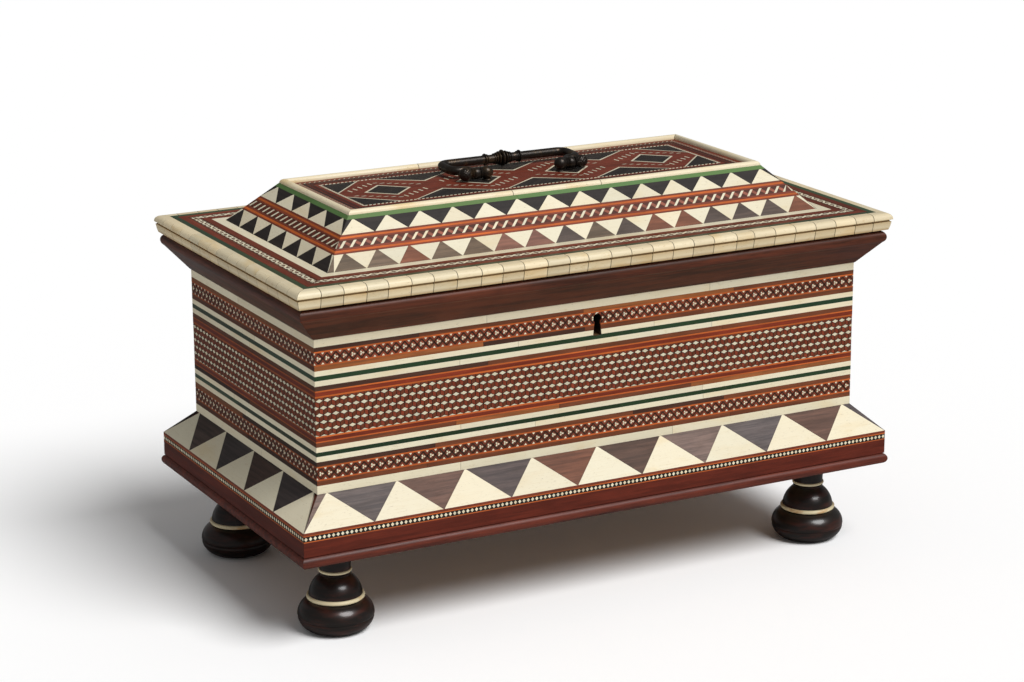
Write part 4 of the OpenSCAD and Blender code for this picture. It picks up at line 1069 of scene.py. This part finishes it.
# %% Carry a profile along the sides
def moulding(name, profile, spans, node, colour, amount, ease=0.15 * mm, corner_tone=None):
    """profile is a closed counterclockwise list of (out, z). spans gives for each side the ends
    of its blocks. The mitre draws each corner back to the side's half length plus its out.
    The last argument gives for each corner of the profile a factor for its colour, where 1 leaves
    it as it is; lower factors are darker and warmer."""
    gap, dirt, smooth = 0.11 * mm, 0.2, 40
    profile = np.array(profile)
    small = inset(profile[None], ease)[0]
    points, faces, stain, grain, count = [], [], [], [], 0
    k = len(profile)
    corner_tone = np.ones(k) if corner_tone is None else np.array(corner_tone)
    around = np.concatenate([[0], np.cumsum(np.linalg.norm(np.diff(profile, axis=0), axis=1))])
    for side in SIDES:
        half, reach = halves(side)
        start, end = (np.array(s)[:, None] for s in zip(*spans[side]))
        axis, out = directions(side)
        rings = []
        for shape, u in ((small, start + gap), (profile, start + gap + ease),
                         (profile, end - gap - ease), (small, end - gap)):
            pull = gap + (ease if shape is profile else 0)
            limit = half + shape[None, :, 0] - pull
            u = np.clip(np.broadcast_to(u, (len(start), k)), -limit, limit)
            rings += [u[..., None] * axis + (reach + shape[None, :, 0, None]) * out
                      + shape[None, :, 1, None] * np.array([0, 0, 1.0])]
        block = np.stack(rings, axis=1)
        n = len(block)
        faces += prism_faces(count + np.arange(n)[:, None] * 4 * k, k, 4)
        points += [block.reshape(-1, 3)]
        count += 4 * n * k
        run = block @ axis
        seed = np.broadcast_to(rng.uniform(0, 90, (n, 1, 1)), run.shape)
        grain += [np.stack([run, np.broadcast_to(around, run.shape), seed], axis=3).reshape(-1, 3)]
        shade = (np.array([dirt, 1, 1, dirt])[None, :, None, None]
                 * corner_tone[None, None, :, None] ** np.array([0.7, 1.0, 1.5]))
        tone = np.broadcast_to(vary(colour, n, amount)[:, None, None] * shade, (n, 4, k, 3))
        stain += [np.concatenate([tone.reshape(-1, 3), np.ones((4 * n * k, 1))], axis=1)]
    add_mesh(name, np.concatenate(points), faces, "lid", "bone", aged_bone, [node], smooth,
             stain=np.concatenate(stain), grain=np.concatenate(grain))


def arc(centre, radius, start, end, count):
    """Points of a round from one angle to another, in degrees."""
    t = np.radians(np.linspace(start, end, count))
    return [(centre[0] + radius * math.cos(a), centre[1] + radius * math.sin(a)) for a in t]


def blocks(side, length, out, amount, skip=()):
    """Ends of blocks of about one length along a side, with open stretches left out."""
    half = halves(side)[0] + out
    edges = [-half] + [e for pair in skip for e in pair] + [half]
    spans = []
    for a, b in zip(edges[::2], edges[1::2]):
        count = max(int(round((b - a) / length)), 1)
        cuts = a + np.arange(count + 1) / count * (b - a)
        cuts[1:-1] += rng.uniform(-amount, amount, count - 1) * length
        spans += list(zip(cuts[:-1], cuts[1:]))
    return spans


lid_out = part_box("lid_edge_moulding")[1].x - half_x
rim_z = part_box("lid_frame")[0].z
rebate, roll_r = 13.0 * mm, 3.6 * mm
edge_profile = ([(rebate, rim_z + 0.5 * mm), (lid_out - 2 * mm, rim_z + 0.5 * mm),
                 (lid_out - 1.3 * mm, rim_z + 2.6 * mm), (lid_out - 0.7 * mm, border_z - 5.4 * mm),
                 (lid_out - 1.6 * mm, border_z - 5.1 * mm),
                 (lid_out - 1.6 * mm, border_z - 4.4 * mm)]
                + arc((lid_out - roll_r, border_z - roll_r), roll_r, -4, 90, 9)
                + [(border_out, border_z), (border_out, border_z - veneer),
                   (rebate, border_z - veneer)])
# The moulding is left open where a hinge's knuckles stand, half a gap each side of its middle.
hinge_half, pin_half = 23.9 * mm, 22.8 * mm
hinge_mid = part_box("hinge_pins")[1].x - pin_half
hinge_skip = [(-hinge_mid - hinge_half, -hinge_mid + hinge_half),
              (hinge_mid - hinge_half, hinge_mid + hinge_half)]
spans = [blocks(s, 14.8 * mm, lid_out, 0.08, hinge_skip if s == 2 else ()) for s in SIDES]
# The moulding is painted darker in its groove and along its bottom edges.
edge_corner_tone = [0.4, 0.5, 0.92, 0.7, 0.36, 0.36, 0.75] + [0.97] * 9 + [0.5] * 2
moulding("lid_moulding", edge_profile, spans, "lid_edge_moulding", rgb(220, 206, 174), 0.08,
         corner_tone=edge_corner_tone)

bead_r = 2.6 * mm
bead_mid = -top_in - bead_r
bead_profile = ([(bead_mid - bead_r, panel_z - veneer), (bead_mid + bead_r - 1.2 * mm,
                                                         panel_z - veneer)]
                + arc((bead_mid, panel_z), bead_r, 0, 180, 13))
spans = [blocks(s, 110 * mm, -top_in, 0.2) for s in SIDES]
moulding("top_bead", bead_profile, spans, "lid_top_bead", rgb(228, 215, 184), 0.04,
         ease=0.12 * mm)

# %% [markdown]
# ## Feet
#
# A turned foot is one profile spun round its axis: a bun with an incised line, a bone ring, a
# dome, a second bone ring and a hollow neck. The lathe function takes radius and height along
# the profile and a whole circle of angles, and multiplies them out as one grid.

# %% Turn the feet
def lathe(profile, count, centre=(0, 0)):
    """Points and quads of a profile of (radius, height) spun round a vertical axis:
    x = r cos t, y = r sin t, z = h. The profile starts and ends on the axis or closes itself."""
    profile = np.array(profile)
    t = np.arange(count) / count * 2 * math.pi
    points = np.stack([centre[0] + profile[:, :1] * np.cos(t),
                       centre[1] + profile[:, :1] * np.sin(t),
                       np.repeat(profile[:, 1:], count, axis=1)], axis=2)
    return points.reshape(-1, 3), grid_quads(len(profile), count)


def joined(parts):
    """One array of points, and the faces renumbered for it, from (points, faces) pairs."""
    first = np.cumsum([0] + [len(points) for points, _ in parts[:-1]])
    return (np.concatenate([points for points, _ in parts]),
            [faces + start for (_, faces), start in zip(parts, first)])


def turned_wood(name):
    """Dark polished wood with the rings of the lathe and rosewood streaks."""
    f = Finish(name, Coat_Weight=0.45, Coat_Roughness=0.16, Specular_IOR_Level=0.3)
    place = f.local()
    figure = f.noise(place, (55, 55, 260), 4, 0.6).rises(0.42, 0.72)
    fine = f.noise(place, (500, 500, 2400), 3, 0.6)
    f.put(Base_Color=f.mix(figure * 0.7, tuple(rgb(26, 20, 17)), tuple(rgb(66, 32, 24))),
          Roughness=0.26 + 0.16 * fine)
    f.bump(fine, 0.00005, 0.35)
    return f.material


def ring_bone(name):
    """Turned bone, stained orange where glue and polish have crept in."""
    f = Finish(name, Coat_Weight=0.1, Coat_Roughness=0.3)
    place = f.local()
    dirt = f.noise(place, (90, 90, 200), 4).rises(0.5, 0.72)
    f.put(Base_Color=f.mix(dirt * 0.75, tuple(rgb(222, 208, 170)), tuple(rgb(186, 132, 66))),
          Roughness=0.4)
    return f.material


foot_wood, bone_rings = turned_wood("foot_wood"), ring_bone("ring_bone")
foot_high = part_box("foot_front_left")[1].z
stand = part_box("bottom_board")[0].z
bun_r, bun_h, ring_r, ring_t = 23.5 * mm, 20 * mm, 17.9 * mm, 2.6 * mm
dome_r, dome_h, cap_r, cap_t = 16.6 * mm, 12.3 * mm, 10.4 * mm, 1.8 * mm
neck_r, neck_flare, collar_r, collar_t = 9.6 * mm, 4.4 * mm, 14.2 * mm, 2.5 * mm
ring_hole, cap_hole, facets = 12 * mm, 6 * mm, 72


def foot_profile():
    """Radius and height from the floor's centre up and back to the axis."""
    side = np.array(arc((bun_r - bun_h / 2, bun_h / 2), bun_h / 2, -90, 90, 61))
    groove_z, groove_w, groove_deep = 0.44 * bun_h, 0.55 * mm, 0.6 * mm
    side[:, 0] -= groove_deep * np.exp(-((side[:, 1] - groove_z) / groove_w) ** 2)
    dome_z = bun_h + ring_t
    dome = arc((0, dome_z - 1.5 * mm), dome_r, 5.2, 56, 16)
    cap_z = dome_z + dome_h
    neck_z = cap_z + 2 * mm + cap_t
    neck = [(neck_r + neck_flare * s ** 3, neck_z + s * (stand - collar_t - neck_z))
            for s in np.linspace(0, 1, 14)]
    return ([(0, 0.02 * mm)] + side.tolist() + [(ring_hole, bun_h), (ring_hole, dome_z)] + dome
            + [(9.4 * mm, cap_z), (9.7 * mm, cap_z + 1 * mm), (9.2 * mm, cap_z + 2 * mm),
               (cap_hole, cap_z + 2 * mm), (cap_hole, neck_z)] + neck
            + [(collar_r, stand - collar_t), (collar_r, stand - 0.1 * mm),
               (cap_hole, stand - 0.1 * mm), (cap_hole, foot_high), (0, foot_high)])


def ring_profile(radius, thick, low, hole):
    """Radius and height round a flat ring with a rounded rim and a hole."""
    return ([(hole, low), (radius - thick / 2, low)]
            + arc((radius - thick / 2, low + thick / 2), thick / 2, -80, 80, 9)
            + [(hole, low + thick), (hole, low)])


rings = []
for name in ("foot_front_left", "foot_front_right", "foot_back_left", "foot_back_right"):
    low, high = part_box(name)
    axis = ((low.x + high.x) / 2, (low.y + high.y) / 2)
    points, quads = lathe(foot_profile(), facets, axis)
    add_mesh(name + "_turned", points, [quads], "case", "ebony", foot_wood, [name], 35)
    for ring in ((ring_r, ring_t, bun_h, ring_hole),
                 (cap_r, cap_t, bun_h + ring_t + dome_h + 2 * mm, cap_hole)):
        rings += [lathe(ring_profile(*ring), facets, axis)]
add_mesh("foot_rings", *joined(rings), "case", "bone", bone_rings, ["foot_bone_rings"], 35)

# %% [markdown]
# ## Handle
#
# The bail is one bar swept along a path in a plane: half the grip, a C-shaped curl, an elbow
# and the eye round the pivot, and the same mirrored. Rings on the grip are swellings of the
# bar's radius. The posts are turned shapes: an acorn with a cross-hatched cup outside, and a
# plain bud inside, on a waist that passes through the eye.

# %% Sweep the bail
joint = [j for j in frame["joints"] if j["name"] == "handle_swing"][0]
handle_at = np.array(joint["pos_m"])
bail_drop = 0.03
tilt = math.asin(bail_drop)
bail_r, reach, curl_r, curl_flat = 2.8 * mm, 30 * mm, 6 * mm, 8 * mm
elbow_r, pivot_x = 5.2 * mm, 34 * mm
curl_x, arm_y = pivot_x + elbow_r, reach - 2 * curl_r - curl_flat


def bail_path(step=0.45 * mm):
    """Points of half the bail from its middle to the eye, evenly spaced, and their distance
    along it. Each leg is a straight length and a turn: heading = sum of turns, and the points
    are the running sum of (cos heading, sin heading) * step."""
    legs = [(curl_x, 0, 0), (0, curl_r, -1), (curl_flat, 0, 0), (0, curl_r, -1),
            (0, elbow_r, 1), (arm_y - elbow_r, 0, 0)]
    turns, lengths = [], []
    for length, radius, sign in legs:
        length = length or radius * math.pi / 2
        count = max(int(round(length / step)), 1)
        lengths += [length / count] * count
        turns += [sign * (length / count) / radius if radius else 0.0] * count
    lengths, turns = np.array(lengths), np.array(turns)
    heading = np.cumsum(turns) - turns / 2
    chord = lengths * np.sinc(turns / 2 / math.pi)
    move = np.stack([np.cos(heading), np.sin(heading)], axis=1) * chord[:, None]
    return (np.concatenate([[0], np.cumsum(lengths)]),
            np.concatenate([[(0, 0)], np.cumsum(move, axis=0)]) + [0, reach])


def bail_radius(s):
    """The bar's radius: plain, with half-round rings on the grip, and thinner towards the
    eye. A ring is (distance along the bar, radius, half its width), in millimetres."""
    rings = [(0, 5.35, 1.15), (2.5, 4.5, 0.8), (4.2, 3.9, 0.7), (5.8, 3.5, 0.6),
             (12.4, 4.0, 0.8), (10.8, 3.4, 0.5)]
    r = bail_r - 0.7 * mm * np.clip((s / s[-1] - 0.86) / 0.12, 0, 1)
    for at_mm, top, half in rings:
        x = np.clip(np.abs(s - at_mm * mm) / (half * mm), 0, 1)
        r = np.maximum(r, bail_r * 0.9 + (top * mm - bail_r * 0.9) * np.sqrt(1 - x ** 2))
    return r


def swept(path, radius, normal, count):
    """A round bar along a path in a plane: centre + r (n cos t + z sin t)."""
    t = np.arange(count) / count * 2 * math.pi
    ring = np.stack([normal[:, None, 0] * np.cos(t), normal[:, None, 1] * np.cos(t),
                     np.broadcast_to(np.sin(t), (len(path), count))], axis=2)
    centre = np.concatenate([path, np.zeros((len(path), 1))], axis=1)[:, None]
    return centre + radius[:, None, None] * ring


def to_lid(points, lean):
    """From the bail's own plane to its place on the lid, leaned back by an angle."""
    c, s = math.cos(lean), math.sin(lean)
    turn = np.array([[1, 0, 0], [0, c, -s], [0, s, c]])
    return points @ turn.T + handle_at


s, half_path = bail_path()
ringed = 14 * mm
fine = np.concatenate([np.linspace(0, ringed, 150), s[s > ringed]])
half_path = np.stack([np.interp(fine, s, line) for line in half_path.T], axis=1)
tangent = np.gradient(half_path, axis=0)
tangent /= np.linalg.norm(tangent, axis=1, keepdims=True)
outward = np.stack([-tangent[:, 1], tangent[:, 0]], axis=1)
bar_sides = 28
half_bar = swept(half_path, bail_radius(fine), outward, bar_sides)
mirrored = half_bar[:0:-1] * np.array([-1, 1, 1])
bar = np.concatenate([mirrored, half_bar])


def ring_lathe(profile, count, x):
    """A profile of (radius, distance along x) spun round the x axis, at a place along it."""
    points, quads = lathe(profile, count)
    return points[:, [2, 0, 1]] + np.array([x, 0, 0]), quads


eye_r, eye_half, waist = 3.7 * mm, 2.2 * mm, 1.95 * mm
eye_profile = [(waist, -eye_half + 0.5 * mm), (waist + 0.6 * mm, -eye_half),
               (eye_r - 0.8 * mm, -eye_half), (eye_r - 0.2 * mm, -eye_half + 0.5 * mm),
               (eye_r, -eye_half + 1.2 * mm), (eye_r, eye_half - 1.2 * mm),
               (eye_r - 0.2 * mm, eye_half - 0.5 * mm), (eye_r - 0.8 * mm, eye_half),
               (waist + 0.6 * mm, eye_half), (waist, eye_half - 0.5 * mm),
               (waist, -eye_half + 0.5 * mm)]
bail_points, bail_faces = joined([(bar.reshape(-1, 3), grid_quads(len(bar), bar_sides))]
                                 + [ring_lathe(eye_profile, 40, x) for x in (-pivot_x, pivot_x)])
caps = np.arange(bar_sides)[None]
bail_faces += [caps[:, ::-1], (len(bar) - 1) * bar_sides + caps]


def patina(name):
    """Bronze gone nearly black, with brown showing where hands rub it."""
    f = Finish(name)
    place = f.local()
    rub = f.noise(place, (120, 120, 120), 4, 0.6).rises(0.48, 0.7)
    specks = f.noise(place, (2200, 2200, 2200), 2).rises(0.55, 0.7)
    f.put(Base_Color=f.mix(rub, tuple(rgb(40, 34, 29)), tuple(rgb(92, 74, 54))),
          Metallic=0.55 + 0.3 * rub, Roughness=0.34 - 0.1 * rub + 0.12 * specks)
    f.bump(specks, 0.00005, 0.4)
    return f.material


bronze = patina("bronze")
add_mesh("bail", to_lid(bail_points, tilt), bail_faces, "handle", "bronze", bronze,
         ["handle_bail"], 35)

# %% [markdown]
# The posts are turned too, but round the pivot's line, which lies level. The hatching on the
# acorn's cup was cut with a file, so two sets of spiral grooves are pressed into its grid.
# A mirrored part needs its faces turned round too, or they would look inwards.

# %% Turn the posts
acorn_r = 4.2 * mm
cheek = eye_half + 0.2 * mm


def hatched(points, count, from_x):
    """Cuts a cross-hatch into a turned shape: r falls where cos(a t + x / b) or
    cos(a t - x / b) nears one, so the grooves run as two sets of spirals."""
    grooves, lead, depth, stem_r = 9, 0.42 * mm, 0.28 * mm, 1.2 * mm
    grid = points.reshape(-1, count, 3)
    t = np.arctan2(grid[..., 2], grid[..., 1])
    x = grid[..., 0]
    r = np.hypot(grid[..., 1], grid[..., 2])
    wave = [np.clip(np.cos(grooves * t + sign * x / lead), 0, 1) ** 6 for sign in (-1, 1)]
    deep = depth * np.maximum(*wave) * ((x > from_x) & (r > stem_r))
    scale = np.where(r > 0, 1 - deep / np.maximum(r, 1e-6), 1)
    return (grid * np.stack([np.ones_like(scale), scale, scale], axis=2)).reshape(-1, 3)


def smooth_profile(rows, count):
    """Points between a few (radius, distance) pairs, evenly along a straight chain."""
    rows = np.array(rows)
    s = np.concatenate([[0], np.cumsum(np.linalg.norm(np.diff(rows, axis=0), axis=1))])
    t = np.linspace(0, s[-1], count)
    return np.stack([np.interp(t, s, line) for line in rows.T], axis=1)


def swelling(middle, length, radius, start, end, count):
    """Part of an egg shape along the axis, from one angle to another in degrees."""
    t = np.radians(np.linspace(start, end, count))
    return [(radius * math.cos(a), middle + length * math.sin(a)) for a in t]


stem = [(0, cheek - 1.0 * mm), (waist - 0.05 * mm, cheek - 1.0 * mm), (waist - 0.05 * mm, cheek)]
acorn_rows = (stem + [(3.3 * mm, cheek + 0.1 * mm), (3.7 * mm, cheek + 0.6 * mm),
                      (3.2 * mm, cheek + 1.1 * mm)]
              + swelling(cheek + 5.0 * mm, 4.4 * mm, acorn_r, -52, 50, 18)
              + [(2.1 * mm, cheek + 8.9 * mm), (1.6 * mm, cheek + 9.3 * mm),
                 (0.7 * mm, cheek + 9.8 * mm), (0, cheek + 10.0 * mm)])
bud_rows = (stem + [(3.1 * mm, cheek + 0.1 * mm), (3.5 * mm, cheek + 0.7 * mm),
                    (3.0 * mm, cheek + 1.2 * mm)]
            + swelling(cheek + 4.9 * mm, 4.3 * mm, acorn_r, -50, 66, 18)
            + [(0.9 * mm, cheek + 9.3 * mm), (0, cheek + 9.45 * mm)])
bud_rows = [(r, min(z, cheek + 9.4 * mm)) for r, z in bud_rows]
shank_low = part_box("right_handle_post")[0].z
bud_mid, shank_r = 26.25 * mm, 2.2 * mm
shank_rows = [(0, shank_low), (shank_r, shank_low), (shank_r, panel_z),
              (3.5 * mm, panel_z + 0.02 * mm), (3.6 * mm, panel_z + 0.4 * mm),
              (3.2 * mm, panel_z + 0.8 * mm), (2.3 * mm, panel_z + 0.9 * mm),
              (shank_r, handle_at[2]), (0, handle_at[2])]
acorn_sides = 72
acorn, acorn_quads = ring_lathe(smooth_profile(acorn_rows, 60), acorn_sides, 0)
acorn = hatched(acorn, acorn_sides, cheek + 2.2 * mm) + [pivot_x, 0, 0]
bud, bud_quads = ring_lathe(bud_rows, 48, 0)
shank, shank_quads = lathe(shank_rows, 32)
post = ((acorn, acorn_quads), (bud * [-1, 1, 1] + [pivot_x, 0, 0], bud_quads[:, ::-1]),
        (shank + [bud_mid, 0, -handle_at[2]], shank_quads))
for name, sign in (("left_handle_post", -1), ("right_handle_post", 1)):
    parts = [(points * [sign, 1, 1] + handle_at, quads[:, ::sign]) for points, quads in post]
    add_mesh(name + "_turned", *joined(parts), "lid", "bronze", bronze, [name], 32)

# %% [markdown]
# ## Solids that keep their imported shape
#
# The carcass, the plinth, the cornice, the lock, the hinges and the racks are right as they
# are. They only take a finish, with the grain along each board.

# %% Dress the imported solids
dressed = [
    (front_board, "front_wall"),
    (board["x"], "back_wall bottom_board lid_front_slope lid_back_slope lid_top_board"),
    (board["y"], "left_wall right_wall knife_racks lid_left_slope lid_right_slope"),
    (red_wood["x"], "plinth_front plinth_back plinth_bead lid_frame"),
    (red_wood["y"], "plinth_left plinth_right"),
    (cornice_wood["x"], "cornice_front cornice_back"),
    (cornice_wood["y"], "cornice_left cornice_right"),
    (iron, "lock_case lock_cover lock_spring lock_rivets lock_bolt lid_staple handle_nuts"),
    (brass, "hinge_case_leaves hinge_pins case_hinge_screws hinge_lid_leaves lid_hinge_screws")]
for material, names in dressed:
    for name in names.split():
        mesh = frame["nodes"][name].data
        mesh.materials.clear()
        mesh.materials.append(material)
print("dressed", sum(len(names.split()) for _, names in dressed), "packed solids")

# %% [markdown]
# ## Floor and light
#
# A white floor under soft light keeps a grey shadow. To the camera the floor's paint is a
# little paler than to the box, so that it meets the white background with no edge. Polished dark
# wood would mirror all that white as a grey veil, so reflections see a darker floor and sky, as
# with a photographer's black cards. One broad lamp stands at the front and above, and the
# world fills the rest.

# %% Light the scene
world = bpy.data.worlds.new("studio")
bpy.context.scene.world = world
world.use_nodes = True
w = Nodes(world.node_tree)
seen = w.node("LightPath", output="Is Camera Ray")
gloss = w.node("LightPath", output="Is Glossy Ray")
clear = w.node("LightPath", output="Is Transmission Ray")
fill, mirrored_fill = 0.26, 0.14
shown = seen.maths("MAXIMUM", seen, clear)
strength = shown.maths("MAXIMUM", shown, gloss * mirrored_fill + (1 - gloss) * fill)
background = w.node("Background", {}, {"Color": (1, 1, 1), "Strength": strength})
out = world.node_tree.nodes.new("ShaderNodeOutputWorld")
world.node_tree.links.new(background.socket, out.inputs["Surface"])

floor_half = 6.0
floor = bpy.data.meshes.new("floor")
floor.from_pydata([(-floor_half, -floor_half, 0), (floor_half, -floor_half, 0),
                   (floor_half, floor_half, 0), (-floor_half, floor_half, 0)], [], [(0, 1, 2, 3)])
floor_paint = Finish("floor_paint", Roughness=0.9, Specular_IOR_Level=0.0)
mirrored = floor_paint.node("LightPath", output="Is Glossy Ray")
direct = floor_paint.node("LightPath", output="Is Camera Ray")
plain, to_camera, in_mirrors = ((grey,) * 3 for grey in (0.91, 0.995, 0.22))
paint = floor_paint.mix(direct, plain, to_camera)
floor_paint.put(Base_Color=floor_paint.mix(mirrored, paint, in_mirrors))
floor.materials.append(floor_paint.material)
floor_object = bpy.data.objects.new("floor", floor)
bpy.context.scene.collection.objects.link(floor_object)


def sun(name, azimuth, height, spread, strength):
    """A distant lamp as wide in the sky as its spread, so its shadows are soft. Azimuth 0 is
    in front and 90 to the right; all angles are in degrees."""
    data = bpy.data.lights.new(name, "SUN")
    data.angle, data.energy = math.radians(spread), strength
    made = bpy.data.objects.new(name, data)
    a, h = math.radians(azimuth), math.radians(height)
    toward = Vector((math.sin(a) * math.cos(h), -math.cos(a) * math.cos(h), math.sin(h)))
    made.rotation_euler = toward.to_track_quat("Z", "Y").to_euler()
    bpy.context.scene.collection.objects.link(made)


sun("key", azimuth=20, height=52, spread=34, strength=2.98)
bpy.context.scene.view_settings.view_transform = "Standard"
